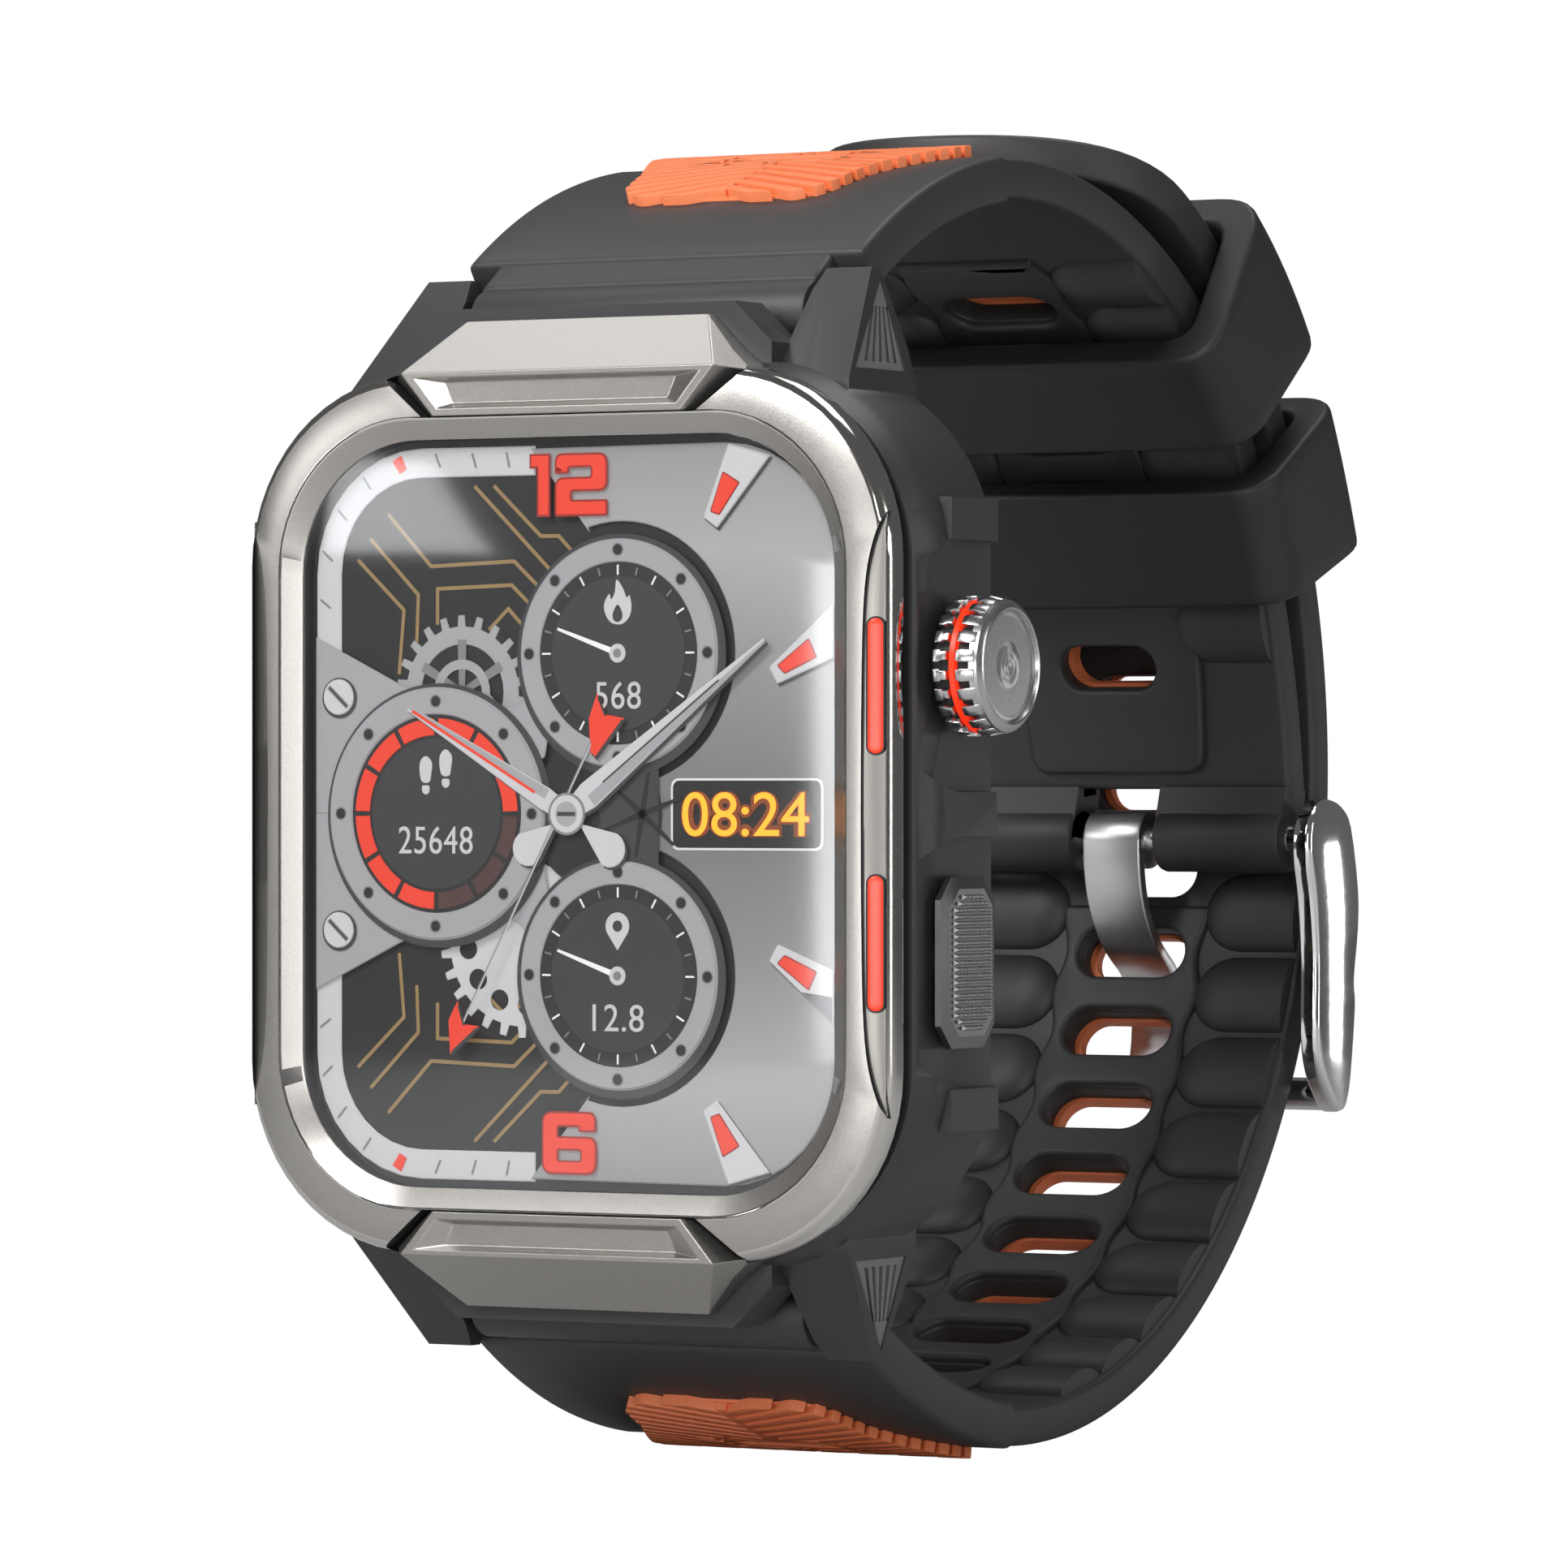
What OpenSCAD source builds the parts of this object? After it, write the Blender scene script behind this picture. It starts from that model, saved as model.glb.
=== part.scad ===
// Running watch with a rectangular display, two side controls and a buckled strap.
// Case back at the origin, display faces -Y, twelve o'clock is +Z, crown is on +X.

/* [Case] */
// Width of the case body, side to side
case_w = 41.2; // [40.6:0.1:42]
// Height of the case body, twelve to six
case_h = 47.2; // [46.6:0.1:48]
// Corner radius of the case body
case_r = 10.9; // [9.5:0.1:11.5]
// Width of the metal bezel
bezel_w = 39.4; // [38.8:0.1:39.8]
// Height of the metal bezel
bezel_h = 46.6; // [46:0.1:46.8]
// Width of the cover glass
glass_w = 32.5; // [31.5:0.1:32.8]
// Height of the cover glass
glass_h = 39.6; // [38.6:0.1:39.9]
// Distance from the glass to the sensor window face
case_d = 12.6; // [12.4:0.1:14]

/* [Controls] */
// Height of the crown and the button above and below the middle
control_z = 7.65; // [7.2:0.05:8]
// Distance of the control axes behind the glass
control_y = 5.8; // [5.6:0.05:6]
// Radius of the crown
crown_r = 3.65; // [3.2:0.05:3.8]
// Outer face of the crown, from the case centre
crown_face = 23.5; // [23.2:0.1:24]
// Outer face of the side button, from the case centre
button_face = 21.4; // [21.2:0.1:21.8]
// Height of the side button
button_h = 8.9; // [7.5:0.1:9.4]

/* [Strap] */
// Width of the strap behind the shoulders
strap_w = 22; // [20:0.5:22]
// Width of the strap between the lugs
strap_end_w = 20.7; // [19:0.1:20.7]
// Thickness of the strap layers
strap_t = 2.2; // [2:0.05:2.2]
// Distance between the adjustment slots along the strap
slot_pitch = 5.2; // [4.8:0.1:5.4]
// Length of an adjustment slot, across the strap
slot_w = 7; // [6:0.1:7.4]
// Height of an adjustment slot, along the strap
slot_h = 3.1; // [2.9:0.05:3.3]
// Distance between the centre lines of the two strap layers
layer_gap = 4.2; // [4.2:0.05:4.4]

/* [Buckle and keepers] */
// Width of each keeper along the strap
keeper_w = 8.4; // [6:0.1:8.6]
// Wall thickness of a keeper
keeper_t = 1.9; // [1:0.1:2.2]
// Outer width of the buckle frame
buckle_w = 26.6; // [26.2:0.1:27.4]
// Thickness of the buckle tongue
tongue_t = 0.9; // [0.7:0.05:0.9]

/* [Hidden] */
$fn = 72;

bezel_front = -0.75;
bezel_back = 1.7;
cap_front = -0.95;
cap_back = 3;
lip_back = 2;
plate_back = 2.8;
board_front = 8.4;
board_back = 9.2;
frame_back = 10.6;
cover_back = 11.6;
gasket_t = 0.25;
cavity = [34, 40.4, 7.5];
pocket_x = 20;
pocket_r = 6.5;
crown_z = control_z;
button_z = -control_z;

// Strap centre lines are chains of tangent arcs [y, z, radius, from, to] in degrees
bar_pos = [9, 26.3];
bar_r = 0.75;
arc_a = [31, -1.2, 36];
b_from = 62;
arc_b = [arc_a[0] + 10 * cos(b_from), arc_a[1] + 10 * sin(b_from), 26];
c_from = 30;
arc_c = [arc_b[0] - 24 * cos(c_from), arc_b[1] - 24 * sin(c_from), 50];
low = [31.7, 2.4];
tail_c = arc_c[2] + layer_gap;
tail_b = arc_b[2] + layer_gap;
d_from = 58;
arc_d = [arc_b[0] + (tail_b - 25) * cos(d_from), arc_b[1] + (tail_b - 25) * sin(d_from), 25];
low_r = tail_c - norm([low[0] - arc_c[0], low[1] - arc_c[1]]);
low_to = atan2(low[1] - arc_c[1], low[0] - arc_c[0]);
pin_pos = [63.8, -1.7];
half_t = strap_t / 2;

upper_line = [concat(arc_a, [128.5, b_from]), concat(arc_b, [b_from, c_from]),
  concat(arc_c, [c_from, 6])];
lower_line = [[low[0], low[1], low_r, -128.5, low_to],
  [arc_c[0], arc_c[1], tail_c, low_to, c_from],
  [arc_b[0], arc_b[1], tail_b, c_from, d_from], concat(arc_d, [d_from, 90])];
slot_start = low_r * (128.5 - 18.1) * PI / 180;
upper_slots = [for (k = [0, 2, 3, 4, 5, 6, 7]) 79.6 - k * slot_pitch];
lower_slots = [for (k = [-7:9]) slot_start + k * slot_pitch];

module slab(y0, y1) {
  rotate([90, 0, 0]) translate([0, 0, -y1]) linear_extrude(y1 - y0) children();
}

module across(x0, x1) {
  rotate([90, 0, 90]) translate([0, 0, x0]) linear_extrude(x1 - x0) children();
}

// Everything is drawn with the glass at y = 0, then moved to stand on the case back
module seat() {
  translate([0, -case_d, 0]) children();
}

module both_sides() {
  children();
  mirror([1, 0, 0]) children();
}

module up_down() {
  children();
  mirror([0, 0, 1]) children();
}

module rounded(w, h, r) {
  square([w - 2 * r, h], center = true);
  square([w, h - 2 * r], center = true);
  for (x = [-1, 1], z = [-1, 1]) translate([x * (w / 2 - r), z * (h / 2 - r)]) circle(r);
}

// Rounded rectangle at y0 whose sides move out by grow at y1
module flare(w, h, r, y0, y1, grow) {
  for (x = [-1, 1], z = [-1, 1])
    translate([x * (w / 2 - r), y1, z * (h / 2 - r)])
      rotate([90, 0, 0]) cylinder(h = y1 - y0, r1 = r + grow, r2 = r);
  across(r - w / 2, w / 2 - r)
    polygon([[y0, -h / 2], [y1, -h / 2 - grow], [y1, h / 2 + grow], [y0, h / 2]]);
  translate([0, 0, r - h / 2]) linear_extrude(h - 2 * r)
    polygon([[-w / 2, y0], [-w / 2 - grow, y1], [w / 2 + grow, y1], [w / 2, y0]]);
}

module ring(w, h, r, t, y0, y1) {
  difference() {
    slab(y0, y1) rounded(w, h, r);
    slab(y0 - 1, y1 + 1) rounded(w - 2 * t, h - 2 * t, r - t);
  }
}

// Cylinder along X at a depth and a height
module axle(r, x0, x1, y, z) {
  translate([x0, y, z]) rotate([0, 90, 0]) cylinder(h = x1 - x0, r = r);
}

// Angles of an arc: its two ends and every multiple of 4 degrees between them, so that
// layers on one arc share their flats
function stops(a, b) = let (d = sign(b - a), k0 = floor(min(a, b) / 4) + 1,
  k1 = ceil(max(a, b) / 4) - 1)
  concat([a], d > 0 ? [for (k = [k0:1:k1]) k * 4] : [for (k = [k1:-1:k0]) k * 4]);
function on_arc(s, a, d) = [s[0] + (s[2] + d) * cos(a), s[1] + (s[2] + d) * sin(a)];
function chain(line, d) = concat(
  [for (s = line) for (a = stops(s[3], s[4])) on_arc(s, a, d)],
  [on_arc(line[len(line) - 1], line[len(line) - 1][4], d)]);
function reversed(p) = [for (i = [len(p) - 1:-1:0]) p[i]];
function arc_len(s) = s[2] * abs(s[4] - s[3]) * PI / 180;

// The same chain with another start angle, and with another end angle on its last arc
function from(line, a) = [for (i = [0:len(line) - 1]) i > 0 ? line[i] :
  concat([for (k = [0:2]) line[0][k]], [a, line[0][4]])];
function cut(line, a) = [for (i = [0:len(line) - 1]) i < len(line) - 1 ? line[i] :
  concat([for (k = [0:3]) line[i][k]], [a])];

// Point and outward angle at a distance along a chain of arcs
function along(line, s, i = 0) =
  i < len(line) - 1 && s > arc_len(line[i]) ? along(line, s - arc_len(line[i]), i + 1) :
  let (a = line[i], t = a[3] + sign(a[4] - a[3]) * s / a[2] * 180 / PI)
  [a[0] + a[2] * cos(t), a[1] + a[2] * sin(t), t];

module layer(line, d0, d1, w) {
  across(-w / 2, w / 2) polygon(concat(chain(line, d1), reversed(chain(line, d0))));
}

// Frame on the strap: local Y points outwards, local Z runs along the strap
module on_strap(line, s) {
  p = along(line, s);
  translate([0, p[0], p[1]]) rotate([p[2], 0, 0]) children();
}

module slot(w, h, d0, d1) {
  rotate([90, 0, 0]) translate([0, 0, -d1]) linear_extrude(d1 - d0) {
    square([w - h, h], center = true);
    for (x = [-1, 1]) translate([x * (w - h) / 2, 0]) circle(h / 2);
  }
}

module rib() {
  for (x = [-1, 1]) translate([x * 7.4, 0, 0]) slot(5.3, 2.9, -half_t - 1, -half_t + 0.2);
}

module cap_outline() {
  polygon([[-8.3, 20.95], [8.3, 20.95], [10.9, 23], [9.4, 24.1], [7.4, 26.1],
    [-7.4, 26.1], [-9.4, 24.1], [-10.9, 23]]);
}

// Long strip with a straight outer edge and a bowed inner one that curves in to its tips
module strip_outline() {
  edge = [[18.15, 0], [18.18, 6], [18.26, 10], [18.42, 12.2], [18.7, 13.7], [19.05, 14.8],
    [19.35, 15.5]];
  polygon(concat(edge, [for (i = [6:-1:1]) [edge[i][0], -edge[i][1]]]));
}

module bar_outline() {
  for (z = [-1, 1]) {
    translate([18.42, z * 6.6 - 3.08]) square([0.82, 6.16]);
    for (e = [-1, 1]) translate([18.83, z * 6.6 + e * 3.08]) circle(0.41);
  }
}

module screw_spots() {
  for (x = [-15.3, 15.3], z = [-18.4, 18.4]) translate([x, 0, z]) children();
}

module bezel() {
  color("#8f8a84") seat() difference() {
    union() {
      flare(35, 42.2, 7.9, bezel_front, -0.35, 1.8);
      flare(bezel_w - 0.8, bezel_h - 0.8, 9.7, -0.35, 0.5, 0.4);
      slab(0.5, 1.2) rounded(bezel_w, bezel_h, 10.1);
      slab(1.2, bezel_back) rounded(bezel_w - 1, bezel_h - 1, 9.6);
    }
    flare(glass_w + 2.2, glass_h + 2.2, 8.1, bezel_front - 0.01, -0.1, -0.85);
    slab(-0.2, 2) rounded(glass_w + 2 * gasket_t, glass_h + 2 * gasket_t, 7.25);
    up_down() slab(-2, 2) cap_outline();
    both_sides() slab(-2, 0.6) strip_outline();
  }
}

module side_strip() {
  intersection() {
    slab(-1, 0.6) strip_outline();
    translate([0, 0, -17]) linear_extrude(34)
      polygon([[18, -0.5], [19.4, 0.05], [19.4, 0.6], [18, 0.6]]);
  }
}

module side_strip_right() {
  color("#6f6a64") seat() difference() {
    side_strip();
    slab(-2, 0.3) bar_outline();
  }
}

module side_strip_left() {
  color("#6f6a64") seat() mirror([1, 0, 0]) side_strip();
}

module accent_bars() {
  color("#ff2a08") seat() slab(-0.42, 0.3) bar_outline();
}

module end_cap() {
  difference() {
    intersection() {
      slab(cap_front, cap_back) cap_outline();
      across(-12, 12) polygon([[cap_front, 20], [cap_front, 23.2], [2.3, 26.1],
        [cap_back, 26.1], [cap_back, 20]]);
      translate([0, 0, 20]) linear_extrude(8) polygon([[-9.2, cap_front], [9.2, cap_front],
        [10.9, 2], [10.9, 4], [-10.9, 4], [-10.9, 2]]);
    }
    slab(cap_front - 1, cap_front + 0.2)
      polygon([[-7.9, 21.35], [7.9, 21.35], [9, 23.25], [-9, 23.25]]);
  }
}

module end_cap_upper() {
  color("#8f8a84") seat() end_cap();
}

module end_cap_lower() {
  color("#8f8a84") seat() mirror([0, 0, 1]) end_cap();
}

module grille_outline() {
  polygon([[4.2, 23.2], [9.6, 23.2], [9.3, 28.2]]);
}

// Outer face of a lug, moved inwards by d
module lug_front(d) {
  polygon([[10.7, 19], [15.3 - d, 19], [15.3 - d, 22.6], [13.7 - d, 28.7], [11, 28.7],
    [10.7, 27.5]]);
}

module lug() {
  difference() {
    intersection() {
      across(10, 16) polygon([[3.2, 19], [3.2, 22.6], [8.5, 28.7], [9.4, 28.7],
        [10.4, 24.5], [10.4, 19]]);
      slab(0, 12) lug_front(0);
    }
    difference() {
      across(11, 16) grille_outline();
      slab(0, 12) lug_front(0.4);
    }
    axle(bar_r, 10, 12.3, bar_pos[0], bar_pos[1]);
  }
}

module grille() {
  difference() {
    intersection() {
      across(11, 16) grille_outline();
      slab(0, 12) lug_front(0.1);
    }
    slab(0, 12) lug_front(0.4);
    for (i = [0:4]) across(10, 17) polygon([[5.5 + i * 0.8, 23.6], [5.9 + i * 0.8, 23.6],
      [7.9 + i * 0.38, 26.6], [7.7 + i * 0.38, 26.6]]);
  }
}

module mid_frame() {
  color("#2f2f31") seat() difference() {
    union() {
      flare(case_w - 1.4, case_h - 1.4, case_r - 0.7, bezel_back, 3.2, 0.7);
      slab(3.2, 9.5) rounded(case_w, case_h, case_r);
      flare(case_w, case_h, case_r, 9.5, frame_back, -1.4);
      up_down() slab(cap_back, cap_back + 3) polygon([[-10.8, 22], [10.8, 22], [10.8, 24.6],
        [8.5, 26.8], [-8.5, 26.8], [-10.8, 24.6]]);
      up_down() both_sides() lug();
      up_down() both_sides() translate([19, 4.4, 14.2]) cube([1.7, 5.1, 2.2]);
    }
    slab(lip_back, 12) rounded(cavity[0], cavity[1], cavity[2]);
    slab(1, 3) rounded(glass_w - 0.1, glass_h - 0.1, 7);
    up_down() slab(0, cap_back) cap_outline();
    up_down() both_sides() {
      axle(pocket_r, pocket_x, 23, control_y, crown_z);
      translate([pocket_x, control_y, crown_z - pocket_r]) cube([3, 8, 2 * pocket_r]);
    }
    axle(1.8, 15, 22, control_y, crown_z);
    axle(0.95, 15, 22, control_y, button_z);
    screw_spots() translate([0, 7.6, 0]) rotate([-90, 0, 0]) cylinder(h = 4, r = 0.45);
  }
}

module lug_grilles() {
  color("#4a4a4c") seat() up_down() both_sides() grille();
}

module cover_glass() {
  color("#10131866") seat() union() {
    flare(glass_w - 0.5, glass_h - 0.5, 6.75, 0, 0.25, 0.25);
    slab(0.25, 1) rounded(glass_w, glass_h, 7);
  }
}

module glass_gasket() {
  color("#0c0c0d") seat()
    ring(glass_w + 2 * gasket_t, glass_h + 2 * gasket_t, 7.25, gasket_t, 0.15, bezel_back);
}

module display_panel() {
  color("#1b1c20") seat() slab(1, lip_back) rounded(32, 39.1, 6.7);
}

module inner_chassis() {
  color("#7a7d80") seat() {
    slab(lip_back, plate_back) rounded(cavity[0], cavity[1], cavity[2]);
    for (x = [-12.6, 12.6], z = [-15.4, 15.4]) translate([x, plate_back, z])
      rotate([-90, 0, 0]) cylinder(h = board_front - plate_back, r = 1.2);
  }
}

module main_board() {
  color("#16603a") seat() slab(board_front, board_back) rounded(31, 37, 6);
}

module gps_module() {
  color("#b9bcc0") seat() translate([-9, 6.4, 12.9]) cube([9, 2, 5]);
}

module gps_antenna() {
  color("#c9a24a") seat() translate([-9, 3.6, 19.6]) cube([18, 4, 0.6]);
}

module battery() {
  color("#3c4a66") seat() slab(plate_back, 7) translate([-2.7, 0]) rounded(22, 23.6, 1.5);
}

module vibration_motor() {
  color("#a9abae") seat() {
    translate([-11, 4.4, -18]) cube([8, 4, 5]);
    axle(1.4, -3, -1, 6.2, -15.5);
  }
}

module speaker() {
  color("#4d4f52") seat() translate([2, 4.8, -18]) cube([9, 3.6, 5]);
}

module sensor_board() {
  color("#1c3f63") seat() slab(9.8, frame_back) circle(9);
}

module rear_cover() {
  color("#232325") seat() difference() {
    union() {
      slab(frame_back, 11.2) rounded(38, 44, 8.7);
      flare(38, 44, 8.7, 11.2, cover_back, -0.4);
      translate([0, case_d - 0.2, 0]) rotate([90, 0, 0])
        cylinder(h = case_d - 0.2 - cover_back, r1 = 12.6, r2 = 13.4);
      slab(10, frame_back) rounded(cavity[0] - 1.2, cavity[1] - 1.2, cavity[2] - 0.6);
    }
    slab(9, frame_back) circle(9);
    slab(11.2, 14) circle(11);
    screw_spots() {
      translate([0, 9, 0]) rotate([-90, 0, 0]) cylinder(h = 4, r = 0.45);
      translate([0, 11, 0]) rotate([-90, 0, 0]) cylinder(h = 4, r = 0.85);
    }
    for (x = [-3.6, -1.2, 1.2, 3.6]) translate([x, 9, -16.4])
      rotate([-90, 0, 0]) cylinder(h = 4, r = 0.6);
  }
}

module rear_seal() {
  color("#0c0c0d") seat() ring(cavity[0], cavity[1], cavity[2], 0.6, 10, frame_back);
}

module sensor_window() {
  color("#0a0a0c") seat() slab(11.2, case_d) circle(11);
}

module charging_pins() {
  color("#d8b04c") seat() for (x = [-3.6, -1.2, 1.2, 3.6]) translate([x, 10, -16.4])
    rotate([-90, 0, 0]) cylinder(h = cover_back - 10.1, r = 0.6);
}

module rear_screws() {
  color("#b4b6b8") seat() screw_spots() difference() {
    union() {
      translate([0, 7.8, 0]) rotate([-90, 0, 0]) cylinder(h = 3.3, r = 0.45);
      translate([0, 11, 0]) rotate([-90, 0, 0]) cylinder(h = 0.5, r = 0.85);
    }
    translate([-0.15, 11.3, -0.6]) cube([0.3, 1, 1.2]);
  }
}

module crown_tube() {
  color("#7b7e82") seat() difference() {
    axle(1.8, 17, pocket_x + 0.3, control_y, crown_z);
    axle(1.15, 16, 22, control_y, crown_z);
  }
}

module crown_seal() {
  color("#0c0c0d") seat() difference() {
    axle(2.2, pocket_x, pocket_x + 0.3, control_y, crown_z);
    axle(1.8, 19, 22, control_y, crown_z);
  }
}

module crown_bracket() {
  color("#7a7d80") seat() difference() {
    translate([14.4, plate_back, crown_z - 2.6]) cube([1.2, board_front - plate_back, 5.2]);
    axle(2.05, 14, 16, control_y, crown_z);
  }
}

module crown_switch() {
  color("#c9a24a") seat() {
    translate([11, 4.8, crown_z - 1.2]) cube([1.6, board_front - 4.8, 2.4]);
    axle(0.8, 12.6, 12.9, control_y, crown_z);
  }
}

module encoder_sleeve() {
  color("#55585c") seat() difference() {
    axle(2, 13.6, 16.2, control_y, crown_z);
    axle(1.15, 13, 17, control_y, crown_z);
  }
}

module crown_stem() {
  color("#9a9da1") seat() axle(1.1, 13.6, 22, control_y, crown_z);
}

// Teeth around the crown: a row of small notches cut into a band
module crown_notches(x0, x1) {
  for (i = [0:23]) translate([x0, control_y, crown_z]) rotate([i * 15, 0, 0])
    translate([0, crown_r - 0.3, -0.2]) cube([x1 - x0, 1, 0.4]);
}

module crown_cap() {
  color("#b9bbbd") seat() difference() {
    union() {
      axle(crown_r - 0.25, 20.7, 21, control_y, crown_z);
      axle(crown_r, 21, 21.6, control_y, crown_z);
      axle(3.1, 21.6, 22, control_y, crown_z);
      axle(crown_r, 22, 22.8, control_y, crown_z);
      translate([22.8, control_y, crown_z]) rotate([0, 90, 0])
        cylinder(h = crown_face - 22.8, r1 = crown_r - 0.05, r2 = crown_r - 0.35);
    }
    crown_notches(20.9, 21.3);
    crown_notches(22.3, 22.85);
    axle(2.9, 22.9, 24, control_y, crown_z);
    axle(1.1, 20, 22, control_y, crown_z);
    axle(2.4, 20, 21.3, control_y, crown_z);
  }
}

module crown_ring() {
  color("#ff2a08") seat() difference() {
    axle(crown_r - 0.1, 21.6, 22, control_y, crown_z);
    axle(3.1, 21, 23, control_y, crown_z);
  }
}

module crown_face() {
  color("#d5d6d8") seat() axle(2.9, 22.9, crown_face - 0.25, control_y, crown_z);
}

module button_outline(d) {
  h = button_h / 2 - d;
  w = 2.9 - d;
  polygon([[-w, -h + 1.6], [-w + 1.3, -h], [w - 1.3, -h], [w, -h + 1.6],
    [w, h - 1.6], [w - 1.3, h], [-w + 1.3, h], [-w, h - 1.6]]);
}

module side_button() {
  color("#6b6d70") seat() translate([0, control_y, button_z]) {
    across(20.5, 20.9) button_outline(0);
    across(20.9, 21.15) button_outline(0.4);
    across(21.15, button_face) button_outline(0.8);
  }
}

module button_stem() {
  color("#9a9da1") seat() {
    axle(0.88, 16.6, 20.5, control_y, button_z);
    axle(1.5, 15.8, 16.6, control_y, button_z);
  }
}

module button_switch() {
  color("#c9a24a") seat() {
    translate([12.6, 4.4, button_z - 1.4]) cube([2, board_front - 4.4, 2.8]);
    axle(0.9, 14.6, 15.3, control_y, button_z);
  }
}

module spring_bars() {
  color("#a9abae") seat() up_down() {
    axle(bar_r, -12.3, 12.3, bar_pos[0], bar_pos[1]);
  }
}

module strap_upper() {
  color("#2b2b2d") seat() difference() {
    union() {
      layer([cut([upper_line[0]], 120)[0]], -half_t, half_t, strap_end_w);
      layer(from([cut([upper_line[0]], 97)[0]], 124), -1.3, 1.3, 24.4);
      layer(from(upper_line, 100), -half_t, half_t, strap_w);
      axle(1.9, -strap_end_w / 2, strap_end_w / 2, bar_pos[0], bar_pos[1]);
      axle(1.9, -strap_w / 2, strap_w / 2, pin_pos[0], pin_pos[1]);
      across(-strap_w / 2, strap_w / 2)
        polygon([[62.2, -1.6], [65.4, -1.6], [65.85, 1.2], [63.2, 1.4]]);
      for (s = upper_slots) if (s < 70) on_strap(upper_line, s - slot_pitch / 2) rib();
    }
    for (s = upper_slots) on_strap(upper_line, s) slot(slot_w, slot_h, -4, 4);
    intersection() {
      layer(cut(upper_line, 9), 0.2, 3, 40);
      inlay_plan();
    }
    axle(bar_r + 0.05, -13, 13, bar_pos[0], bar_pos[1]);
    axle(0.95, -13, 13, pin_pos[0], pin_pos[1]);
    translate([-2.6, 61, -4.4]) cube([5.2, 6, 5.3]);
  }
}

// Inlay shape seen from above, from its front edge over the shoulders to the rear
module inlay_plan() {
  translate([0, 0, -60]) linear_extrude(120) {
    polygon([[-4.8, 15.8], [4.8, 15.8], [5.9, 16.3], [6.6, 17.3], [7.2, 20], [8.6, 23],
      [9.6, 25.2], [9.8, 27.2], [6.4, 27.2], [6.4, 72], [-6.4, 72], [-6.4, 27.2],
      [-9.8, 27.2], [-9.6, 25.2], [-8.6, 23], [-7.2, 20], [-6.6, 17.3], [-5.9, 16.3]]);
  }
}

// Raised front part, and a part flush with the strap from there to the end of the line
module inlay(line, raised_to) {
  difference() {
    intersection() {
      union() {
        layer([cut([line[0]], raised_to)[0]], 0.2, 1.9, 40);
        layer(line, 0.2, half_t, 40);
      }
      inlay_plan();
    }
    translate([0, 23.6, -60]) linear_extrude(120) {
      square([5, 1.8], center = true);
      for (x = [-2.5, 2.5]) translate([x, 0]) circle(0.9);
    }
  }
}

module strap_upper_inlay() {
  color("#f0875a") seat() difference() {
    inlay(cut(upper_line, 9), 96);
    for (s = upper_slots) on_strap(upper_line, s) slot(slot_w - 0.8, slot_h - 0.4, -4, 4);
  }
}

module strap_lower() {
  color("#2b2b2d") seat() difference() {
    union() {
      layer([cut([lower_line[0]], -120)[0]], -half_t, half_t, strap_end_w);
      layer(from([cut([lower_line[0]], -98)[0]], -124), -1.3, 1.3, 24.4);
      layer(from(lower_line, -100), -half_t, half_t, strap_w);
      axle(1.9, -strap_end_w / 2, strap_end_w / 2, bar_pos[0], -bar_pos[1]);
      for (s = lower_slots) if (s < slot_start + 6)
        on_strap(lower_line, s - slot_pitch / 2) rib();
    }
    for (s = lower_slots) on_strap(lower_line, s) slot(slot_w, slot_h, -4, 4);
    intersection() {
      layer(cut(lower_line, 66), 0.2, 3, 40);
      inlay_plan();
    }
    axle(bar_r + 0.05, -13, 13, bar_pos[0], -bar_pos[1]);
    translate([0, arc_d[0] + strap_w / 2, 30]) linear_extrude(20) difference() {
      translate([-14, -14]) square([28, 14]);
      circle(strap_w / 2 + 0.01);
    }
  }
}

module strap_lower_inlay() {
  color("#f0875a") seat() difference() {
    inlay(cut(lower_line, 66), -96);
    for (s = lower_slots) on_strap(lower_line, s)
      slot(slot_w - 0.8, slot_h - 0.4, -4, 4);
  }
}

module buckle_bar() {
  color("#d9dadc") seat() axle(0.88, -12.7, 12.7, pin_pos[0], pin_pos[1]);
}

module buckle_frame() {
  color("#e2e3e5") seat() difference() {
    union() {
      both_sides() across(buckle_w / 2 - 1.2, buckle_w / 2)
        polygon([[64.7, 0.7], [63.6, 0.6], [62.3, -0.1], [61.6, -1.4], [61.7, -3],
          [62.3, -5.2], [62.7, -8.8], [62.6, -13], [63.2, -15.2], [64.6, -17],
          [65.6, -17.7], [66.6, -17.4], [67.3, -15.8], [68, -11.5], [67.8, -9.9],
          [68.4, -7], [68.4, -4.5], [67.4, -0.9], [66.2, 0.3]]);
      axle(0.95, 0.1 - buckle_w / 2, buckle_w / 2 - 0.1, 65.9, -16.6);
    }
    axle(0.88, -12.7, 12.7, pin_pos[0], pin_pos[1]);
  }
}

// Unit normal of a path at point i
function path_dir(p, i) = p[min(i + 1, len(p) - 1)] - p[max(i - 1, 0)];
function path_off(p, d) = [for (i = [0:len(p) - 1]) let (v = path_dir(p, i))
  p[i] + d * [-v[1], v[0]] / norm(v)];

tongue_path = [[62.45, -1.7], [62.5, -3.2], [62.9, -5], [63.7, -6.6], [64.8, -7.9],
  [65.8, -8.7], [66.8, -9.4], [67.7, -10.4], [68.3, -11.8], [68.35, -13.4],
  [68, -15], [67.4, -16.6], [67, -17.6]];

module buckle_tongue() {
  color("#c9cacc") seat() difference() {
    union() {
      axle(1.75, -1.9, 1.9, pin_pos[0], pin_pos[1]);
      across(-1.9, 1.9) polygon(concat(path_off(tongue_path, tongue_t / 2),
        reversed(path_off(tongue_path, -tongue_t / 2))));
    }
    axle(0.95, -3, 3, pin_pos[0], pin_pos[1]);
  }
}

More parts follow.
